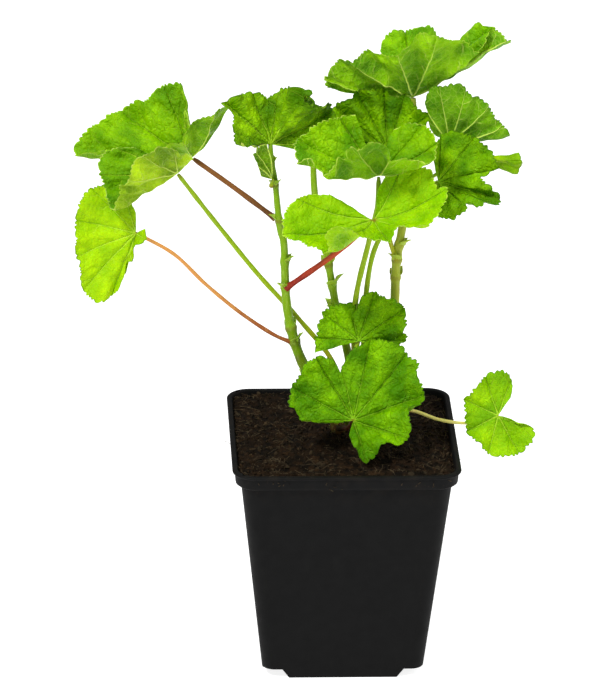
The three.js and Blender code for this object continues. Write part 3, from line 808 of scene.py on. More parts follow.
@dataclass
class Stem:
    """A stem with a swelling, a scar, two bracts and a bud at each joint. `turn` is the angle from
    one joint's bracts to the next one's.
    """

    plan: StemPlan
    joints: list[float]
    sides: int = 20
    pitch: float = 0.8
    swelling: float = 0.3
    turn: float = 137.5
    bract_lean: float = 0.6
    bract_width: float = 0.95
    bud_lean: float = 0.45
    bud_length: float = 0.62
    bud_radius: float = 0.2
    skin: Skin = field(default_factory=Skin)

    def build(self, material: bpy.types.Material) -> bpy.types.Object:
        """Make the stem with what grows at its joints.

        Args:
            material: Its finish.

        Returns:
            The stem's object.
        """
        path = self.plan.path
        whole = length_of(curve(path, np.linspace(0, 1, 300)))
        places = np.linspace(0, 1, int(whole / self.pitch))
        radii = np.interp(places, [0, 1], self.plan.radii)
        marks = np.zeros(len(places))
        for joint in self.joints:
            marks = np.maximum(marks, np.exp(-(((places - joint) * whole) / 1.5) ** 2))
        radii = radii * (1 + self.swelling * marks + 0.03 * Ripples(7, 9, 1).at((places * whole)[:, None]))
        rod(self.skin, curve(path, places), radii, self.sides, 0.03, marks)
        for k, joint in enumerate(sorted(self.joints)):
            spot = curve(path, np.array([joint, min(1.0, joint + 0.01)]))
            self.joint(k, spot[0], unit(spot[1] - spot[0]), float(np.interp(joint, [0, 1], self.plan.radii)))
        return self.skin.piece(self.plan.name + "_shoot", material, 70)

    def joint(self, number: int, place: np.ndarray, along: np.ndarray, radius: float) -> None:
        """Add the bracts and the bud of one joint.

        Args:
            number: Which joint it is, from the foot.
            place: Its middle.
            along: The stem's direction there.
            radius: The stem's radius there.
        """
        for side in (0, 70, 35):
            angle = math.radians(number * self.turn + side)
            out = np.array([math.cos(angle), math.sin(angle), 0])
            out = unit(out - along * (out @ along))
            root = place + out * radius * 0.85
            size = self.plan.bract * (0.8 + 0.25 * math.sin(3 * number + side))
            if side == 35:
                length, thick = self.bud_length * size, self.bud_radius * size
                bud(self.skin, root, along + self.bud_lean * out, length, thick)
            else:
                bract(self.skin, root, along + self.bract_lean * out, out, size, self.bract_width * size)


def bract(skin: Skin, root: np.ndarray, way: np.ndarray, out: np.ndarray, length: float,
          width: float) -> None:
    """Add a small pointed leafy bract, cupped towards the stem.

    Args:
        skin: The mesh that gets it.
        root: Its foot, in millimetres.
        way: The direction in which it grows.
        out: The direction away from the stem.
        length: Its length.
        width: Its greatest width.
    """
    way = unit(way)
    side = unit(np.cross(way, out))
    face = np.cross(side, way)
    rows, cols = 9, 7
    size = rows * cols
    a = np.linspace(0, 1, rows)[:, None]
    b = np.linspace(-1, 1, cols)[None, :]
    shape = np.sin(math.pi * np.clip(a, 0.06, 0.985) ** 0.62) * width / 2
    grid = (root + way * (a * length)[..., None] + side * (b * shape)[..., None]
            + face * (0.22 * length * a ** 2.2 - 0.4 * shape * b ** 2 - 0.05)[..., None])
    thick = face * (0.14 * (1.1 - np.abs(b)) + 0.03 + 0 * a)[..., None]
    i, k = np.meshgrid(np.arange(rows - 1), np.arange(cols - 1), indexing="ij")
    p = (i * cols + k).ravel()
    top = np.stack([p, p + cols, p + cols + 1, p + 1], axis=1)
    rim = np.concatenate([np.arange(cols), np.arange(1, rows) * cols + cols - 1,
                          size - 2 - np.arange(cols - 1), np.arange(rows - 2, -1, -1) * cols])
    edge = np.stack([rim[:-1], rim[1:], rim[1:] + size, rim[:-1] + size], axis=1)
    points = np.concatenate([(grid + thick).reshape(-1, 3), (grid - thick).reshape(-1, 3)])
    values = np.tile([0.9, -1.0, 0.0], (2 * size, 1))
    skin.add(points, np.concatenate([top[:, ::-1], top + size, edge[:, ::-1]]), stem=values)


def bud(skin: Skin, root: np.ndarray, way: np.ndarray, length: float, radius: float) -> None:
    """Add a ribbed pointed bud.

    Args:
        skin: The mesh that gets it.
        root: Its foot, in millimetres.
        way: The direction in which it grows.
        length: Its length.
        radius: Its greatest radius.
    """
    part = np.linspace(0, 1, 9)
    line = root + unit(way) * (part * length)[:, None]
    form = np.maximum(0.12, np.sin(math.pi * (0.12 + 0.86 * part)) ** 0.8)
    rod(skin, line, radius * form, 10, 0.12, np.full(len(part), -1.0))


@dataclass
class Stalk:
    """A leaf stalk that leaves its stem at a swollen foot and ends under the blade."""

    leaf: LeafPlan
    plan: StalkPlan
    sides: int = 14
    pitch: float = 0.8
    skin: Skin = field(default_factory=Skin)

    def build(self, material: bpy.types.Material) -> bpy.types.Object:
        """Make the stalk.

        Args:
            material: Its finish.

        Returns:
            The stalk's object.
        """
        end = np.array(self.leaf.at) - facing(self.leaf) * (0.2 + 0.55 * self.plan.radius)
        path = (*self.plan.path, tuple(end))
        whole = length_of(curve(path, np.linspace(0, 1, 200)))
        places = np.linspace(0, 1, max(8, int(whole / self.pitch)))
        run = places * whole
        foot = np.exp(-(run / 2.0) ** 2)
        radii = self.plan.radius * np.interp(places, [0, 1], [0.92, 0.8])
        radii = radii * (1 + 0.25 * foot - 0.3 * np.exp(-((whole - run) / 1.5) ** 2)
                         + 0.035 * Ripples(11, 12, 1).at(run[:, None]))
        marks = np.maximum(foot, np.exp(-((whole - run) / 2.5) ** 2))
        rod(self.skin, curve(path, places), radii, self.sides, 0.04, marks)
        return self.skin.piece("stalk_" + self.leaf.name + "_fine", material, 70)


def square_ring(width: float, corner: float, z: float, steps: int = 10) -> np.ndarray:
    """One section of the pot: a square with round corners.

    Args:
        width: Its width across the flats.
        corner: Radius of its corners.
        z: Its height.
        steps: Faces round each corner.

    Returns:
        Its points, counterclockwise from above.
    """
    inset = width / 2 - corner
    rows = []
    for quarter in range(4):
        x, y = ((1, 1), (-1, 1), (-1, -1), (1, -1))[quarter]
        angle = (quarter + np.arange(steps + 1) / steps) * math.pi / 2
        rows.append(np.stack([x * inset + corner * np.cos(angle), y * inset + corner * np.sin(angle),
                              np.full(steps + 1, z)], axis=1))
    return np.vstack(rows)


def loft(skin: Skin, rings: Sequence[np.ndarray]) -> None:
    """Add a closed shell through rings of points.

    Args:
        skin: The mesh that gets it.
        rings: The rings, from the lowest to the highest.
    """
    rows, sides = len(rings), len(rings[0])
    points = np.vstack([*rings, rings[0].mean(axis=0), rings[-1].mean(axis=0)])
    first = skin.add(points, ring_faces(rows, sides))
    skin.faces.append(end_faces(rows, sides) + first)


CORNERS = ((-1, -1), (1, -1), (1, 1), (-1, 1))


@dataclass
class NurseryPot:
    """A square moulded pot with a rolled rim, a collar band and four raised base corners."""

    height: float = 93.0
    rim_width: float = 90.0
    collar_width: float = 88.0
    collar_depth: float = 6.0
    under_collar_width: float = 83.0
    base_width: float = 63.6
    wall: float = 1.2
    base_corner: float = 5.0
    rim_corner: float = 9.0
    notch_height: float = 4.0
    notch_reach: float = 7.6
    notch_slope: float = 2.9
    drain_radius: float = 1.6
    drain_inset: float = 5.0

    def outside(self) -> Skin:
        """The outer form, solid.

        Returns:
            Its mesh.
        """
        foot = self.height - self.collar_depth
        skin = Skin()
        bead = [(math.sin(math.pi * s), 0.7 * (1 - math.cos(math.pi * s))) for s in np.linspace(0, 1, 9)]
        loft(skin, [
            square_ring(self.base_width - 0.8, self.base_corner - 0.4, 0),
            square_ring(self.base_width, self.base_corner, 0.4),
            *(square_ring(self.base_width + (self.under_collar_width - self.base_width) * s,
                          self.base_corner + (self.rim_corner - 2 - self.base_corner) * s,
                          0.4 + (foot - 1.0) * s) for s in np.linspace(0.1, 1, 10)),
            square_ring(self.under_collar_width + 0.5, self.rim_corner - 1.8, foot - 0.35),
            square_ring(self.collar_width - 1.6, self.rim_corner - 0.8, foot - 0.1),
            square_ring(self.collar_width - 0.7, self.rim_corner - 0.6, foot + 0.35),
            square_ring(self.collar_width - 0.4, self.rim_corner - 0.5, foot + 1.2),
            square_ring(self.collar_width, self.rim_corner - 0.4, self.height - 1.55),
            *(square_ring(self.collar_width + 0.1 + 1.9 * out, self.rim_corner - 0.3 + 0.3 * out,
                          self.height - 1.4 + rise) for out, rise in bead),
        ])
        return skin

    def hollow(self) -> Skin:
        """The space inside the wall.

        Returns:
            Its mesh.
        """
        foot = self.height - self.collar_depth
        corner = self.rim_corner - self.wall
        inner = -2 * self.wall
        skin = Skin()
        loft(skin, [
            square_ring(self.base_width + inner + 0.3, self.base_corner - self.wall, self.wall),
            square_ring(self.under_collar_width + inner, corner - 1, foot + 0.6),
            square_ring(self.collar_width + inner - 1, corner, foot + 1.6),
            square_ring(self.collar_width + inner, corner, self.height - 0.7),
            square_ring(self.collar_width + inner + 0.35, corner + 0.1, self.height - 0.25),
            square_ring(self.collar_width + inner + 1.2, corner + 0.3, self.height + 0.2),
        ])
        return skin

    def notches(self, extra: float) -> Skin:
        """What the four raised corners take away.

        Args:
            extra: How far it is grown, in millimetres.

        Returns:
            Its mesh.
        """
        half = self.notch_reach + extra
        top = self.notch_height + extra
        skin = Skin()
        spread = self.notch_slope * (top + 2) / self.notch_height
        for x, y in CORNERS:
            place = np.array([x, y, 0]) * self.base_width / 2
            loft(skin, [square_ring(2 * (half + spread), 0.6, -2, 3) + place,
                        square_ring(2 * half, 0.6, top, 3) + place])
        return skin

    def drains(self) -> Skin:
        """The drain holes through the raised corners.

        Returns:
            Their mesh.
        """
        skin = Skin()
        reach = self.base_width / 2 - self.drain_inset
        for x, y in CORNERS:
            line = np.array([[x * reach, y * reach, z] for z in (-10.0, 0.0, 10.0)])
            rod(skin, line, np.full(3, self.drain_radius), 24)
        return skin

    def build(self, material: bpy.types.Material) -> bpy.types.Object:
        """Make the pot.

        Args:
            material: Its plastic.

        Returns:
            The pot's object.
        """
        inside = self.notches(self.wall).piece("inner_notches", material)
        space = cut(self.hollow().piece("pot_space", material), inside)
        below = self.notches(0).piece("outer_notches", material)
        pot = cut(self.outside().piece("nursery_pot", material), below)
        pot = cut(pot, space)
        pot = cut(pot, self.drains().piece("drains", material))
        pot.data.shade_smooth()
        pot.data.set_sharp_from_angle(angle=math.radians(35))
        return pot


def cut(body: bpy.types.Object, tool: bpy.types.Object) -> bpy.types.Object:
    """Cut one solid out of another.

    Args:
        body: The solid that stays.
        tool: The solid that is taken away and deleted.

    Returns:
        The body, with its new mesh.
    """
    step = body.modifiers.new("cut", "BOOLEAN")
    step.operation, step.solver, step.object = "DIFFERENCE", "EXACT", tool
    freeze(body)
    bpy.data.objects.remove(tool)
    return body


def freeze(obj: bpy.types.Object) -> bpy.types.Object:
    """Turn what an object's modifiers make into its plain mesh, and remove them.

    Args:
        obj: The object.

    Returns:
        The same object.
    """
    bpy.context.view_layer.update()
    made = bpy.data.meshes.new_from_object(obj.evaluated_get(bpy.context.evaluated_depsgraph_get()))
    obj.modifiers.clear()
    made.name = obj.name
    obj.data = made
    return obj


@dataclass
class PottingSoil:
    """Peat that fills the pot, with a low hump and lumps."""

    pot: NurseryPot
    level: float = 91.3
    hump: float = 1.1
    lump: float = 0.4
    rings: int = 64

    def height(self, x: np.ndarray, y: np.ndarray) -> np.ndarray:
        """Height of the soil before its fine lumps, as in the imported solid.

        Args:
            x: Places across the pot.
            y: Places along it.

        Returns:
            The heights.
        """
        edge = np.maximum(np.abs(x), np.abs(y)) / (self.pot.rim_width / 2)
        lumps = np.sin(x * 0.31 + 1.3) * np.cos(y * 0.27) + np.sin(x * 0.12 - y * 0.19 + 0.6)
        return self.level + self.hump * (1 - edge ** 2) + self.lump * lumps

    def build(self, material: bpy.types.Material) -> bpy.types.Object:
        """Make the body of soil.

        Args:
            material: Its finish.

        Returns:
            The soil's object.
        """
        inner = self.pot.collar_width - 2 * self.pot.wall - 0.5
        rows = []
        for part in np.linspace(0.01, 1, self.rings):
            ring = square_ring(inner * part, 7.6 * part, 0, 40)
            fine = sum(Ripples(*lumps).at(ring) for lumps in ((5, 7, 0.35), (6, 2.6, 0.22), (8, 1.4, 0.12)))
            ring[:, 2] = self.height(ring[:, 0], ring[:, 1]) + fine - 0.2 - 1.3 * max(0, part - 0.97) / 0.03
            rows.append(ring)
        low = square_ring(self.pot.under_collar_width - 2 * self.pot.wall - 0.6, 5.8, 86.6, 40)
        base = square_ring(self.pot.base_width - 2 * self.pot.wall + 1.2, 3.6, 6.2, 40)
        skin = Skin()
        loft(skin, [base, low, *rows[::-1]])
        return skin.piece("potting_soil", material, 80)


class Graph:
    """A node tree that is written from left to right. Keywords set or link a node's inputs."""

    def __init__(self, tree: bpy.types.NodeTree) -> None:
        """Start writing in `tree`."""
        self.tree = tree

    def put(self, socket: bpy.types.NodeSocket, value: Value) -> None:
        """Link a socket to another, or set its value.

        Args:
            socket: The input.
            value: The output to link it to, or what it is set to.
        """
        if isinstance(value, bpy.types.NodeSocket):
            self.tree.links.new(value, socket)
        else:
            socket.default_value = value

    def node(self, kind: str, **inputs: Value) -> bpy.types.Node:
        """Add a node.

        Args:
            kind: Its type.
            inputs: What its inputs are linked or set to, by name, or by number as text.

        Returns:
            The node.
        """
        made = self.tree.nodes.new(kind)
        for name, value in inputs.items():
            self.put(made.inputs[int(name) if name.isdigit() else name], value)
        return made

    def group(self, tree: bpy.types.NodeTree, **inputs: Value) -> Sockets:
        """Place a shader node group.

        Args:
            tree: The group.
            inputs: What its inputs are linked or set to.

        Returns:
            Its outputs.
        """
        made = self.tree.nodes.new("ShaderNodeGroup")
        made.node_tree = tree
        for name, value in inputs.items():
            self.put(made.inputs[name], value)
        return made.outputs

    def math(self, operation: str, a: Value, b: Value = 0.0, clamp: bool = False) -> bpy.types.NodeSocket:
        """Reckon with one or two numbers.

        Args:
            operation: What is done.
            a: The first number.
            b: The second number.
            clamp: Whether the result is kept between 0 and 1.

        Returns:
            The result.
        """
        made = self.node("ShaderNodeMath", **{"0": a, "1": b})
        made.operation, made.use_clamp = operation, clamp
        return made.outputs[0]

    def plus(self, a: Value, b: Value) -> bpy.types.NodeSocket:
        """Sum of two numbers."""
        return self.math("ADD", a, b)

    def less(self, a: Value, b: Value) -> bpy.types.NodeSocket:
        """What is left of `a` without `b`."""
        return self.math("SUBTRACT", a, b)

    def times(self, a: Value, b: Value) -> bpy.types.NodeSocket:
        """Product of two numbers."""
        return self.math("MULTIPLY", a, b)

    def vector(self, operation: str, a: Value, b: Value) -> bpy.types.NodeSocket:
        """Reckon with two vectors.

        Args:
            operation: What is done.
            a: The first vector.
            b: The second vector.

        Returns:
            The result.
        """
        made = self.node("ShaderNodeVectorMath", **{"0": a, "1": b})
        made.operation = operation
        return made.outputs[0]

    def split(self, vector: Value) -> Sockets:
        """The three numbers of a vector."""
        return self.node("ShaderNodeSeparateXYZ", Vector=vector).outputs

    def compare(self, a: Value, b: Value) -> bpy.types.NodeSocket:
        """Tell whether one number is greater than another, in a geometry tree.

        Args:
            a: The number that may be greater.
            b: The other one.

        Returns:
            True or false.
        """
        made = self.tree.nodes.new("FunctionNodeCompare")
        made.data_type, made.operation = "FLOAT", "GREATER_THAN"
        self.put(made.inputs[0], a)
        self.put(made.inputs[1], b)
        return made.outputs[0]

    def random_vector(self, seed: Value, low: Point, high: Point) -> bpy.types.NodeSocket:
        """A vector that differs from one bit to the next.

        Args:
            seed: The seed of its draws.
            low: Its least numbers.
            high: Its greatest numbers.

        Returns:
            The vector.
        """
        made = self.tree.nodes.new("FunctionNodeRandomValue")
        made.data_type = "FLOAT_VECTOR"
        for name, value in (("Min", low), ("Max", high), ("Seed", seed)):
            self.put(made.inputs[name], value)
        return made.outputs["Value"]

    def ramp(self, value: Value, low: float, high: float) -> bpy.types.NodeSocket:
        """A smooth rise from 0 at `low` to 1 at `high`; a fall where `low` is the greater.

        Args:
            value: The number that is read.
            low: Where the result is 0.
            high: Where the result is 1.

        Returns:
            The result.
        """
        made = self.node("ShaderNodeMapRange", Value=value, **{"From Min": low, "From Max": high})
        made.interpolation_type = "SMOOTHSTEP"
        return made.outputs[0]

    def mix(self, part: Value, a: Value, b: Value) -> bpy.types.NodeSocket:
        """A colour between two.

        Args:
            part: How much of the second there is, from 0 to 1.
            a: The first colour, or its code.
            b: The second colour, or its code.

        Returns:
            The colour.
        """
        made = self.tree.nodes.new("ShaderNodeMix")
        made.data_type = "RGBA"
        for number, value in ((0, part), (6, a), (7, b)):
            self.put(made.inputs[number], srgb(value) if isinstance(value, int) else value)
        return made.outputs[2]

    def layers(self, colour: Value, *coats: tuple[Value, float, int]) -> bpy.types.NodeSocket:
        """A colour with others over it.

        Args:
            colour: The lowest colour, or its code.
            coats: A mask, a strength and a colour code for each coat.

        Returns:
            The colour.
        """
        for mask, strength, code in coats:
            colour = self.mix(self.times(mask, strength), colour, code)
        return colour

    def noise(self, place: Value, scale: Value, detail: float = 2.0) -> bpy.types.NodeSocket:
        """Smooth noise from 0 to 1."""
        return self.node("ShaderNodeTexNoise", Vector=place, Scale=scale, Detail=detail).outputs[0]

    def cells(self, place: Value, scale: float, feature: str) -> Sockets:
        """Cells on a plane.

        Args:
            place: The place on the plane.
            scale: How many there are to a unit of length.
            feature: What is read of them.

        Returns:
            The outputs of the cells.
        """
        made = self.node("ShaderNodeTexVoronoi", Vector=place, Scale=scale)
        made.feature, made.voronoi_dimensions = feature, "2D"
        return made.outputs


class Shader(Graph):
    """The node tree of a new material."""

    def __init__(self, name: str) -> None:
        """Start the material.

        Args:
            name: Its name.
        """
        self.material = bpy.data.materials.new(name)
        self.material.use_nodes = True
        super().__init__(self.material.node_tree)
        self.skin = self.tree.nodes["Principled BSDF"]

    def place(self) -> bpy.types.NodeSocket:
        """The place on the object, in metres."""
        return self.node("ShaderNodeTexCoord").outputs["Object"]

    def read(self, name: str) -> Sockets:
        """The three numbers of an attribute of the mesh.

        Args:
            name: Name of the attribute.

        Returns:
            The numbers.
        """
        made = self.tree.nodes.new("ShaderNodeAttribute")
        made.attribute_name = name
        return self.split(made.outputs["Vector"])

    def glow(self, weight: float, depth: float) -> None:
        """Let light into the surface, `depth` metres deep."""
        self.skin.inputs["Subsurface Weight"].default_value = weight
        self.skin.inputs["Subsurface Scale"].default_value = depth

    def cover(self, colour: Value, rough: Value, shine: float,
              bump: tuple[Value, float, float] | None = None) -> bpy.types.Material:
        """Give the material its colour, roughness, shine and relief.

        Args:
            colour: Its colour.
            rough: Its roughness.
            shine: Its specular level.
            bump: Height of its relief, with the strength and the depth in metres.

        Returns:
            The material.
        """
        self.put(self.skin.inputs["Base Color"], colour)
        self.put(self.skin.inputs["Roughness"], rough)
        self.skin.inputs["Specular IOR Level"].default_value = shine
        if bump:
            height, strength, depth = bump
            relief = self.node("ShaderNodeBump", Strength=strength, Distance=depth, Height=height)
            self.put(self.skin.inputs["Normal"], relief.outputs[0])
        return self.material


class Bit(Enum):
    """What a scatter is made of."""

    CRUMB = "crumb"
    FIBRE = "fibre"
    HAIR = "hair"


@dataclass
class Scatter:
    """Bits that lie on a surface or stand on it. Sizes are in metres here."""

    name: str
    kind: Bit
    density: float
    seed: int
    size: float
    flat: float = 1.0
    slim: float = 0.0
    low: float = 0.0
    lean: float = 0.0
    bend: float = 0.0

    def sizes(self) -> dict[str, float | int]:
        """Values of the tree's named inputs."""
        return {"Density": self.density, "Seed": self.seed, "Size": self.size, "Flatness": self.flat,
                "Thickness": self.slim, "Lowest": self.low, "Lean": self.lean, "Bend": self.bend}

    def bit(self, g: Graph, given: Sockets,
            upright: bpy.types.NodeSocket) -> tuple[bpy.types.NodeSocket, ...]:
        """Make one bit of this kind.

        Args:
            g: The tree to write in.
            given: The tree's inputs.
            upright: The rotation that stands a bit on the surface.

        Returns:
            Its geometry, its random rotation and its random scale.
        """
        size, slim, whole = given["Size"], given["Thickness"], (math.pi,) * 3
        turn = g.random_vector(given["Seed"], tuple(-v for v in whole), whole)
        scale_seed = g.plus(given["Seed"], 1.0)
        if self.kind is Bit.CRUMB:
            ball = g.node("GeometryNodeMeshIcoSphere", Radius=g.times(size, 0.5), Subdivisions=2).outputs[0]
            grown = g.random_vector(scale_seed, (0.35, 0.3, 0.3), (1.15, 1.0, 1.0))
            squeeze = g.node("ShaderNodeCombineXYZ", X=1.0, Y=1.0, Z=given["Flatness"]).outputs[0]
            return ball, turn, g.vector("MULTIPLY", grown, squeeze)
        scale = g.random_vector(scale_seed, (0.35,) * 3, (1.2,) * 3)
        if self.kind is Bit.FIBRE:
            step = g.vector("MULTIPLY", (0.125, 0.0, 0.0), size)
            line = g.node("GeometryNodeMeshLine", Count=9, Offset=step).outputs[0]
            back = g.vector("MULTIPLY", (-0.5, 0.0, 0.0), size)
            line = g.node("GeometryNodeTransform", Geometry=line, Translation=back).outputs[0]
            turn = g.random_vector(given["Seed"], (-0.25, -0.25, -math.pi), (0.25, 0.25, math.pi))
            return g.node("GeometryNodeMeshToCurve", Mesh=line).outputs[0], turn, scale
        sway = g.vector("MULTIPLY", g.random_vector(given["Seed"], (-1.0,) * 3, (1.0,) * 3), given["Lean"])
        tilt = g.node("FunctionNodeRotateRotation", Rotation=upright, **{"Rotate By": sway})
        tilt.rotation_space = "LOCAL"
        spike = g.node("GeometryNodeMeshCone", Vertices=4, Depth=size, **{
            "Side Segments": 2, "Fill Segments": 1, "Radius Top": g.times(slim, 0.1), "Radius Bottom": slim})
        return spike.outputs[0], tilt.outputs[0], scale

    def tree(self, material: bpy.types.Material) -> bpy.types.NodeTree:
        """Build the geometry tree.

        Args:
            material: The finish of the bits.

        Returns:
            The node tree.
        """
        g = Graph(bpy.data.node_groups.new(self.name + "_tree", "GeometryNodeTree"))
        face = g.tree.interface
        face.new_socket("Geometry", in_out="INPUT", socket_type="NodeSocketGeometry")
        for name, value in self.sizes().items():
            kind = "NodeSocketInt" if name == "Seed" else "NodeSocketFloat"
            face.new_socket(name, in_out="INPUT", socket_type=kind).default_value = value
        face.new_socket("Geometry", in_out="OUTPUT", socket_type="NodeSocketGeometry")
        given = g.node("NodeGroupInput").outputs
        where = g.node("GeometryNodeInputPosition").outputs[0]
        above = g.compare(g.split(where)["Z"], given["Lowest"])
        strewn = g.node("GeometryNodeDistributePointsOnFaces", Mesh=given["Geometry"], Selection=above,
                        Density=given["Density"], Seed=given["Seed"]).outputs
        bit, turn, scale = self.bit(g, given, strewn["Rotation"])
        bits = g.node("GeometryNodeInstanceOnPoints", Points=strewn["Points"], Instance=bit,
                      Rotation=turn, Scale=scale).outputs[0]
        solid = g.node("GeometryNodeRealizeInstances", Geometry=bits).outputs[0]
        pace = g.math("DIVIDE", 1.4 if self.kind is Bit.CRUMB else 1.6, given["Size"])
        rough = g.node("ShaderNodeTexNoise", Vector=where, Scale=pace, Detail=1.0).outputs["Color"]
        reach = g.vector("MULTIPLY", g.vector("SUBTRACT", rough, (0.5,) * 3), given["Bend"])
        solid = g.node("GeometryNodeSetPosition", Geometry=solid, Offset=reach).outputs[0]
        if self.kind is Bit.FIBRE:
            ring = g.node("GeometryNodeCurvePrimitiveCircle", Resolution=4,
                          Radius=given["Thickness"]).outputs[0]
            solid = g.node("GeometryNodeCurveToMesh", Curve=solid,
                           **{"Profile Curve": ring, "Fill Caps": True}).outputs[0]
        done = g.node("GeometryNodeSetMaterial", Geometry=solid, Material=material).outputs[0]
        done = g.node("GeometryNodeSetShadeSmooth", Geometry=done).outputs[0]
        g.node("NodeGroupOutput", Geometry=done)
        return g.tree


def strew(base: bpy.types.Object, kind: Scatter, material: bpy.types.Material) -> bpy.types.Object:
    """Strew one kind of bit over a piece.

    Args:
        base: The piece that carries them.
        kind: What is strewn.
        material: Its finish.

    Returns:
        The bits as one mesh object.
    """
    ground = bpy.data.objects.new(kind.name, base.data.copy())
    dress(ground, material)
    step = ground.modifiers.new("scatter", "NODES")
    step.node_group = kind.tree(material)
    for item in step.node_group.interface.items_tree:
        if item.in_out == "INPUT" and item.name in kind.sizes():
            step[item.identifier] = kind.sizes()[item.name]
    return freeze(ground)


def new_group(name: str, inputs: dict[str, float | Point], outputs: Sequence[str]) -> tuple[Graph, Sockets]:
    """Start a shader node group.

    Args:
        name: Its name.
        inputs: Its inputs with their values; three numbers make a vector.
        outputs: Its outputs, all numbers.

    Returns:
        The tree to write in, and its inputs.
    """
    g = Graph(bpy.data.node_groups.new(name, "ShaderNodeTree"))
    for key, value in inputs.items():
        kind = "NodeSocketVector" if isinstance(value, tuple) else "NodeSocketFloat"
        g.tree.interface.new_socket(key, in_out="INPUT", socket_type=kind).default_value = value
    for key in outputs:
        g.tree.interface.new_socket(key, in_out="OUTPUT", socket_type="NodeSocketFloat")
    return g, g.node("NodeGroupInput").outputs


class Effects:
    """The shared shader groups."""

    def __init__(self) -> None:
        """Build every group once."""
        self.veins = self.vein_net()
        self.grain = self.fine_grain()
        self.dust = self.loose_dust()

    def vein_net(self) -> bpy.types.NodeTree:
        """Veins of a blade: main ones, branches and the net between them. Lengths are millimetres.

        Returns:
            The group.
        """
        sizes = {"Apart": 0.0, "Run": 0.0, "Part": 0.0, "Left": FAR_FROM_MARGIN, "Plane": (0, 0, 0),
                 "Spacing": VEIN_SPACING, "Width": 0.5}
        g, given = new_group("vein_net", sizes, ("Main", "Branch", "Net", "Relief", "Patch"))
        apart, run, part, plane = (given[name] for name in ("Apart", "Run", "Part", "Plane"))
        fade = g.less(1.15, g.math("DIVIDE", run, g.plus(run, given["Left"])))
        main = g.ramp(g.math("DIVIDE", apart, g.times(given["Width"], fade)), 1.0, 0.35)
        wobble = g.less(g.noise(plane, 0.16), 0.5)
        phase = g.plus(g.less(run, g.times(apart, VEIN_SLANT)), g.times(wobble, 7.0))
        phase = g.plus(g.math("DIVIDE", phase, given["Spacing"]), g.times(part, 0.5))
        near = g.math("ABSOLUTE", g.less(g.math("FRACT", g.plus(phase, 0.5)), 0.5))
        near = g.times(near, g.times(given["Spacing"], 0.69))
        branch = g.times(g.ramp(near, 0.3, 0.08), g.ramp(g.noise(plane, 0.22), 0.35, 0.6))
        branch = g.times(branch, g.ramp(g.math("ABSOLUTE", g.less(part, 0.5)), 0.02, 0.3))
        shake = g.node("ShaderNodeTexNoise", Vector=plane, Scale=0.5).outputs[1]
        bent = g.vector("ADD", plane, g.vector("MULTIPLY", shake, (1.2,) * 3))
        cell = g.cells(bent, 0.5, "DISTANCE_TO_EDGE")["Distance"]
        fine = g.cells(bent, 1.25, "DISTANCE_TO_EDGE")["Distance"]
        lace = g.math("MAXIMUM", g.times(g.ramp(cell, 0.12, 0.02), 0.7),
                      g.times(g.ramp(fine, 0.14, 0.02), 0.3))
        puff = g.plus(g.times(g.ramp(cell, 0.0, 0.45), 0.5), g.times(g.ramp(fine, 0.0, 0.4), 0.18))
        vein = g.math("MAXIMUM", main, g.times(branch, 0.8))
        relief = g.less(puff, g.times(vein, 0.8))
        patch = g.node("ShaderNodeSeparateColor", Color=g.cells(bent, 0.5, "F1")["Color"]).outputs[0]
        g.node("NodeGroupOutput", Main=main, Branch=branch, Net=lace, Relief=relief, Patch=patch)
        return g.tree

    def fine_grain(self) -> bpy.types.NodeTree:
        """Fine grain on any surface, with streaks along its height if `Streak` isn't 1.

        Returns:
            The group.
        """
        sizes = {"Place": (0, 0, 0), "Scale": 1000.0, "Streak": 1.0}
        g, given = new_group("fine_grain", sizes, ("Grain", "Cloud"))
        stretch = g.node("ShaderNodeCombineXYZ", X=1.0, Y=1.0, Z=given["Streak"]).outputs[0]
        grain = g.noise(g.vector("MULTIPLY", given["Place"], stretch), given["Scale"], 3.0)
        cloud = g.noise(given["Place"], g.times(given["Scale"], 0.12), 3.0)
        g.node("NodeGroupOutput", Grain=grain, Cloud=cloud)
        return g.tree

    def loose_dust(self) -> bpy.types.NodeTree:
        """Dust and soil specks that thin out downwards from a height. Lengths are metres.

        Returns:
            The group.
        """
        sizes = {"Place": (0, 0, 0), "Top": 0.093, "Depth": 0.01, "Amount": 0.5}
        g, given = new_group("loose_dust", sizes, ("Dust", "Specks"))
        place = given["Place"]
        below = g.math("DIVIDE", g.less(given["Top"], g.split(place)["Z"]), given["Depth"])
        near = g.times(g.math("SUBTRACT", 1.0, below, clamp=True), given["Amount"])
        dust = g.times(near, g.ramp(g.noise(place, 160.0, 4.0), 0.42, 0.72))
        spot = g.node("ShaderNodeTexVoronoi", Vector=place, Scale=900.0).outputs["Distance"]
        pick = g.ramp(g.noise(place, 420.0), 0.56, 0.66)
        specks = g.times(g.times(g.ramp(spot, 0.3, 0.15), pick), g.plus(near, 0.06))
        g.node("NodeGroupOutput", Dust=dust, Specks=specks)
        return g.tree


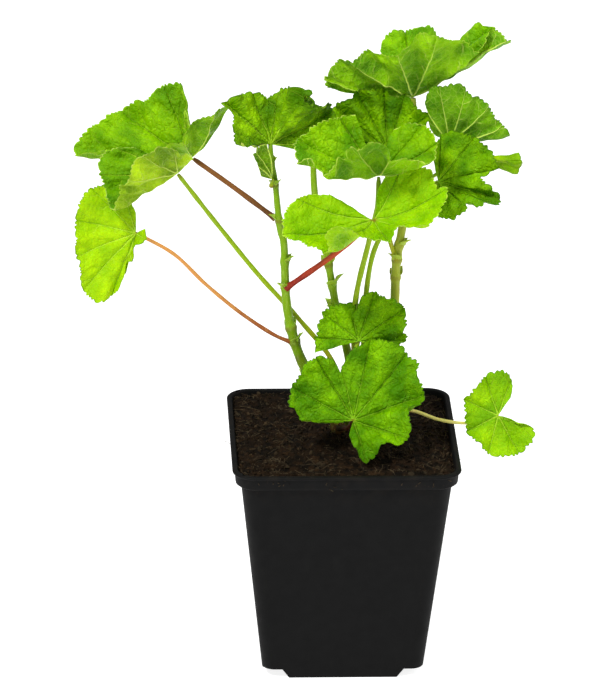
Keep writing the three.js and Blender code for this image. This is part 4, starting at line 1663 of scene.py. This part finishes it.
class Finishes:
    """Makes each piece's material."""

    def __init__(self, effects: Effects) -> None:
        """Keep the shared groups."""
        self.effects = effects

    def leaf(self, name: str, finish: LeafFinish, seed: int) -> bpy.types.Material:
        """A leaf blade: wrinkled and bright above, duller with raised pale veins below.

        Args:
            name: Name of the material.
            finish: Its colours.
            seed: Shifts its pattern.

        Returns:
            The material.
        """
        g = Shader(name)
        uv = g.tree.nodes.new("ShaderNodeUVMap")
        uv.uv_map = "Plane"
        spread = g.vector("MULTIPLY", uv.outputs[0], (1 / PLANE_SCALE,) * 3)
        plane = g.vector("ADD", spread, (seed * 37.0, seed * 11.0, 0.0))
        apart, run, part = g.read("veins")
        under, left, _ = g.read("blade")
        net = g.group(self.effects.veins, Apart=apart, Run=run, Part=part, Left=left, Plane=plane)
        grain = g.group(self.effects.grain, Place=plane, Scale=2.2)["Grain"]
        cloud = g.ramp(g.noise(plane, 0.08, 3.0), 0.32, 0.68)
        # Upper face: the cloud between the two greens and the patches are random tone. Painted shade darkens
        # the blade beside the main veins, where it dips. The net is partly the fine veins' own colour and
        # partly painted shade in the creases between the puckers.
        top = g.layers(g.mix(cloud, finish.deep, finish.lit),
                       (net["Patch"], 0.3, finish.deep), (g.ramp(apart, 3.0, 0.5), 0.18, finish.deep),
                       (net["Net"], 0.42, finish.deep), (net["Branch"], 0.24, finish.vein),
                       (net["Main"], 0.55, finish.vein))
        low = g.layers(g.mix(cloud, finish.under_deep or finish.deep, finish.under or finish.lit),
                       (net["Net"], 0.2, finish.under_vein), (net["Branch"], 0.42, finish.under_vein),
                       (net["Main"], 0.85, finish.under_vein))
        # The band at the margin: a pale rim colour is a painted highlight along the edge, a dark one is the
        # margin's own colour.
        edge = g.times(g.ramp(left, 0.55, 0.12), g.ramp(g.noise(plane, 0.35), 0.3, 0.6))
        colour = g.layers(g.mix(under, top, low), (edge, 0.7, finish.rim))
        if finish.heart_size:
            away = g.plus(g.plus(run, apart), g.times(g.noise(plane, 0.8), 2.0))
            heart = g.ramp(away, finish.heart_size + 1.5, finish.heart_size - 1)
            colour = g.layers(colour, (heart, 0.8, finish.heart))
        height = g.times(g.plus(net["Relief"], g.times(grain, 0.25)), g.less(1.0, g.times(under, 1.7)))
        g.skin.inputs["Subsurface Radius"].default_value = (0.4, 1.0, 0.04)
        g.glow(finish.glow, 0.0012)
        return g.cover(colour, g.plus(g.times(grain, 0.25), finish.gloss - 0.12), 0.07,
                       (height, 0.9, 0.0007 * finish.crinkle))

    def stalk(self, name: str, finish: StalkFinish) -> bpy.types.Material:
        """A stem or stalk: a gradient along it, darker scars at joints, fine pale flecks.

        Args:
            name: Name of the material.
            finish: Its colours.

        Returns:
            The material.
        """
        g = Shader(name)
        part, joint, _ = g.read("stem")
        grain = g.group(self.effects.grain, Place=g.place(), Scale=1500.0, Streak=0.18)
        cloud = grain["Cloud"]
        shift = g.plus(part, g.times(g.less(cloud, 0.5), 0.5))
        scar = g.times(g.ramp(joint, 0.45, 1.0), g.ramp(cloud, 0.4, 0.62))
        colour = g.layers(g.mix(g.ramp(shift, 0.15, 0.55), finish.foot, finish.tip),
                          (g.ramp(grain["Grain"], 0.5, 0.72), 0.16, finish.fleck), (scar, 0.6, finish.scar))
        colour = g.mix(g.ramp(joint, -0.3, -0.7), colour, g.mix(cloud, finish.tip, finish.bract))
        g.glow(0.1, 0.001)
        return g.cover(colour, g.plus(g.times(cloud, 0.2), finish.rough - 0.1), 0.12,
                       (grain["Grain"], 0.3, 0.00012))

    def hair(self, name: str, finish: HairFinish) -> bpy.types.Material:
        """Fine pale hairs.

        Args:
            name: Name of the material.
            finish: Their colours.

        Returns:
            The material.
        """
        g = Shader(name)
        return g.cover(g.mix(g.noise(g.place(), 400.0), finish.dull, finish.pale), finish.rough, 0.1)

    def pot(self, finish: PotFinish) -> bpy.types.Material:
        """Black plastic with a matt grain, paler worn scuffs, a faint painted highlight along the top of the
        rim, and dust near the rim.

        Args:
            finish: Its colours.

        Returns:
            The material.
        """
        g = Shader("black_plastic")
        place = g.place()
        grain = g.group(self.effects.grain, Place=place, Scale=1800.0)
        dust = g.group(self.effects.dust, Place=place, Top=0.0935, Depth=0.016, Amount=0.5)
        # Painted highlight: the top of the rolled rim is faintly lightened with the colour of the worn
        # scuffs.
        painted_lip_highlight = g.times(g.ramp(g.split(place)["Z"], 0.0916, 0.0926), g.ramp(grain["Cloud"], 0.2, 0.6))
        scuff = g.ramp(g.noise(g.vector("MULTIPLY", place, (1.0, 1.0, 0.12)), 260.0, 5.0), 0.6, 0.74)
        colour = g.layers(finish.black, (scuff, 0.18, finish.worn_and_sheen), (painted_lip_highlight, 0.06, finish.worn_and_sheen),
                          (dust["Dust"], 0.4, finish.dust), (dust["Specks"], 1.0, finish.dust))
        rough = g.plus(g.plus(g.times(grain["Cloud"], 0.25), finish.rough - 0.1), g.times(scuff, 0.1))
        return g.cover(colour, rough, 0.1, (grain["Grain"], 0.25, 0.0001))

    def soil(self, name: str, finish: SoilFinish, pale: float) -> bpy.types.Material:
        """Damp peat or the bits on it.

        Args:
            name: Name of the material.
            finish: Its colours.
            pale: How much of it is pale, from 0 to 1.

        Returns:
            The material.
        """
        g = Shader(name)
        place = g.place()
        grain = g.group(self.effects.grain, Place=place, Scale=2400.0)
        patch = g.node("ShaderNodeTexVoronoi", Vector=place, Scale=520.0)
        pick = g.node("ShaderNodeSeparateColor", Color=patch.outputs["Color"]).outputs[0]
        colour = g.layers(g.mix(g.ramp(grain["Cloud"], 0.35, 0.65), finish.dark, finish.brown),
                          (g.ramp(pick, 0.75, 1.0), 0.25 + 0.6 * pale, finish.fibre))
        if pale:
            colour = g.layers(colour, (g.ramp(pick, 0.0, 0.5), pale, finish.grit))
        height = g.plus(grain["Grain"], g.times(grain["Cloud"], 1.5))
        return g.cover(colour, g.plus(g.times(grain["Grain"], 0.25), 0.68), 0.07, (height, 0.9, 0.0006))


@dataclass
class Studio:
    """The floor, the soft light and the camera."""

    target: Point = (-0.01742, 0.0, 0.12837)
    distance: float = 2.37
    elevation: float = 22.73
    azimuth: float = -2.7
    roll: float = 0.786
    focus: float = 6000.0
    frame_height: float = 700.0
    sensor: float = 36.0
    sky: float = 0.36
    floor_glow: float = 0.85
    floor_half: float = 6.0
    aim: Point = (0.0, 0.0, 0.13)

    def camera(self) -> bpy.types.Object:
        """Place the camera at the photograph's viewpoint.

        Returns:
            The camera's object, now the scene's.
        """
        e, a, r = (math.radians(v) for v in (self.elevation, self.azimuth, self.roll))
        back = Vector((math.sin(a) * math.cos(e), -math.cos(a) * math.cos(e), math.sin(e)))
        level = Vector((math.cos(a), math.sin(a), 0))
        rise = back.cross(level)
        right = level * math.cos(r) + rise * math.sin(r)
        up = rise * math.cos(r) - level * math.sin(r)
        data = bpy.data.cameras.new("camera")
        data.sensor_width = self.sensor
        data.lens = self.focus * self.sensor / self.frame_height
        data.clip_end = 20.0
        camera = bpy.data.objects.new("camera", data)
        place = Vector(self.target) + back * self.distance
        camera.matrix_world = Matrix.Translation(place) @ Matrix((right, up, back)).transposed().to_4x4()
        bpy.context.scene.collection.objects.link(camera)
        bpy.context.scene.camera = camera
        return camera

    def light(self, name: str, place: Point, size: float, power: float) -> None:
        """Add a square soft light that faces the plant.

        Args:
            name: Its name.
            place: Its place, in metres.
            size: Its width, in metres.
            power: Its power, in watts.
        """
        data = bpy.data.lights.new(name, "AREA")
        data.size, data.energy = size, power
        lamp = bpy.data.objects.new(name, data)
        lamp.location = place
        lamp.rotation_euler = (Vector(place) - Vector(self.aim)).to_track_quat("Z", "Y").to_euler()
        bpy.context.scene.collection.objects.link(lamp)

    def build(self) -> None:
        """Make the floor, the light round the object and the camera."""
        scene = bpy.context.scene
        scene.view_settings.view_transform = "Standard"
        world = bpy.data.worlds.new("studio")
        world.use_nodes = True
        sky = world.node_tree.nodes["Background"].inputs
        sky["Color"].default_value = (1.0, 1.0, 1.0, 1.0)
        sky["Strength"].default_value = self.sky
        scene.world = world
        floor = bpy.data.meshes.new("floor")
        corners = [(x * self.floor_half, y * self.floor_half, 0) for x, y in CORNERS]
        floor.from_pydata(corners, [], [(0, 1, 2, 3)])
        g = Shader("pale_floor")
        g.skin.inputs["Emission Color"].default_value = (1.0, 1.0, 1.0, 1.0)
        g.skin.inputs["Emission Strength"].default_value = self.floor_glow
        tone = g.mix(g.noise(g.place(), 3.0), (0.48, 0.48, 0.48, 1.0), (0.5, 0.5, 0.5, 1.0))
        material = g.cover(tone, 0.9, 0.1)
        dress(bpy.data.objects.new("floor", floor), material)
        self.light("key", (-0.75, -0.95, 1.6), 0.35, 33.0)
        self.light("fill", (1.2, -0.6, 1.2), 0.9, 10.0)
        self.light("top", (0.3, 0.3, 1.9), 1.0, 10.0)
        self.camera()


# Each leaf's greens are partly its own colour and partly painted light and shade: they are set leaf by leaf
# so that each leaf is as light or dark as it looks where it stands. A pale rim is a painted highlight along
# the margin.
LEAF_FINISHES = {
    "upper_left": LeafFinish(0x8CBE00, 0x568A00, 1.5, 0.7, 0.9, rim=0xA8CC30),
    "left_turned": LeafFinish(0x70A400, 0x447A00, 0.7, 0.7, 0.9, under=0xA8CC10, under_deep=0x5E8608,
                              rim=0xC4DC60),
    "left_crown": LeafFinish(0x92C400, 0x467400, 2.1, 1.0, 1.1),
    "left_young": LeafFinish(0x6A9600, 0x345C00, 1.6, 0.5, 0.7, rim=0xB4CC50),
    "far_left": LeafFinish(0xAED600, 0x82B000, 1.2, 0.4, 0.6, 0.6),
    "middle": LeafFinish(0xA2D000, 0x76AC00, 1.1, 0.4, 0.7, 2.0, rim=0xBCD848),
    "centre": LeafFinish(0x8CC000, 0x4C8200, 1.9, 0.8, 0.9, 0.6, rim=0xC8E060),
    "centre_pleated": LeafFinish(0x8CC000, 0x3C6C00, 2.6, 1.2, 1.3, vein=0x88B820),
    "top": LeafFinish(0x8AC000, 0x4E8600, 1.7, 0.6, 0.9, rim=0xA8CC40),
    "right_upper": LeafFinish(0x6EA400, 0x427800, 1.2, 0.7, 0.8),
    "right": LeafFinish(0x92C600, 0x487C00, 1.8, 0.9, 1.3, vein=0x88B820),
    "right_young": LeafFinish(0x9CC200, 0x6A9600, 1.0, 0.3, 0.6),
    "behind_centre": LeafFinish(0x6A9C00, 0x3C6A00, 1.5, 0.6, 0.8),
    "lower": LeafFinish(0x88C000, 0x487E00, 1.8, 0.8, 1.2, vein=0x90C028),
    "front": LeafFinish(0x80B800, 0x447A00, 1.7, 0.5, 1.2, 1.2, vein=0x90C028),
    "low_right": LeafFinish(0x9ACA00, 0x689E00, 1.3, 0.6, 0.8, 0.6),
}
STALK_FINISHES = {
    Tint.GREEN: StalkFinish(0xA2A81C, 0x8CAC10),
    Tint.BROWN: StalkFinish(0x5C3A1C, 0x784C24, fleck=0x9A7040),
    Tint.RED: StalkFinish(0x84261A, 0xB44A28, fleck=0xC86A44),
    Tint.TAN: StalkFinish(0x94542A, 0xC88C48, fleck=0xE0B868),
    Tint.CREAM: StalkFinish(0xDECC78, 0xD8D070, fleck=0xF0E4A8),
}
OWN_STALKS = {"front": StalkFinish(0x2E2014, 0x50281A)}
STEM_FINISHES = {
    "stem_left": StalkFinish(0x4C3416, 0x72980A),
    "stem_middle": StalkFinish(0x5E6C10, 0x769A0C),
    "stem_right": StalkFinish(0x9C8444, 0x9CA830),
}


@dataclass
class Mallow:
    """The whole plant."""

    finishes: Finishes

    def stems(self) -> None:
        """Build the stems. A joint stands where each stalk leaves."""
        for plan in STEMS:
            places = np.linspace(0, 1, 600)
            line = curve(plan.path, places)
            feet = [leaf.stalk.path[0] for leaf in LEAVES if leaf.stalk and leaf.stalk.stem == plan.name]
            joints = sorted([*plan.joints, *(
                float(places[np.argmin(np.linalg.norm(line - np.array(foot), axis=1))]) for foot in feet)])
            joints = [j for k, j in enumerate(joints) if k == 0 or j - joints[k - 1] > 0.025]
            material = self.finishes.stalk(plan.name + "_skin", STEM_FINISHES[plan.name])
            shoot = Stem(plan, joints).build(material)
            slot = "stem_pale" if plan.name == "stem_right" else "stem"
            hairs = Scatter(plan.name + "_hairs", Bit.HAIR, 800000.0, 21, 0.0012, slim=0.000035,
                            low=0.094, lean=0.5, bend=0.0003)
            material = self.finishes.hair(plan.name + "_hair_skin", HairFinish())
            keep(strew(shoot, hairs, material), slot)
            keep(shoot, slot, plan.name)

    def leaves(self) -> None:
        """Build each leaf's blade and stalk."""
        for seed, plan in enumerate(LEAVES, start=1):
            finish = LEAF_FINISHES[plan.name]
            material = self.finishes.leaf("leaf_" + plan.name + "_skin", finish, seed)
            keep(Blade(plan, finish, seed).build(material), "leaf_" + plan.tone.value, "leaf_" + plan.name)
            if plan.stalk:
                tint = OWN_STALKS.get(plan.name, STALK_FINISHES[plan.stalk.tint])
                material = self.finishes.stalk("stalk_" + plan.name + "_skin", tint)
                stalk = Stalk(plan, plan.stalk).build(material)
                keep(stalk, "stalk_" + plan.stalk.tint.value, "stalk_" + plan.name)


def main() -> None:
    """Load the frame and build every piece."""
    logging.basicConfig(level=logging.INFO, format="%(message)s")
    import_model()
    Studio().build()
    finishes = Finishes(Effects())
    pot = NurseryPot()
    keep(pot.build(finishes.pot(PotFinish())), "pot", "pot")
    soil = PottingSoil(pot).build(finishes.soil("peat", SoilFinish(), 0.0))
    low = (pot.height - pot.collar_depth + 2) * MM
    bits = (
        (Scatter("soil_crumbs", Bit.CRUMB, 260000.0, 3, 0.0017, flat=0.8, low=low, bend=0.0006), 0.05),
        (Scatter("soil_chips", Bit.CRUMB, 26000.0, 5, 0.0032, flat=0.35, low=low, bend=0.0010), 0.25),
        (Scatter("soil_fibres", Bit.FIBRE, 70000.0, 9, 0.009, slim=0.00011, low=low, bend=0.003), 0.6),
    )
    for kind, pale in bits:
        keep(strew(soil, kind, finishes.soil(kind.name + "_skin", SoilFinish(), pale)), "soil")
    keep(soil, "soil", "soil")
    plant = Mallow(finishes)
    plant.stems()
    plant.leaves()
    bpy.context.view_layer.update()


if __name__ == "__main__":
    main()
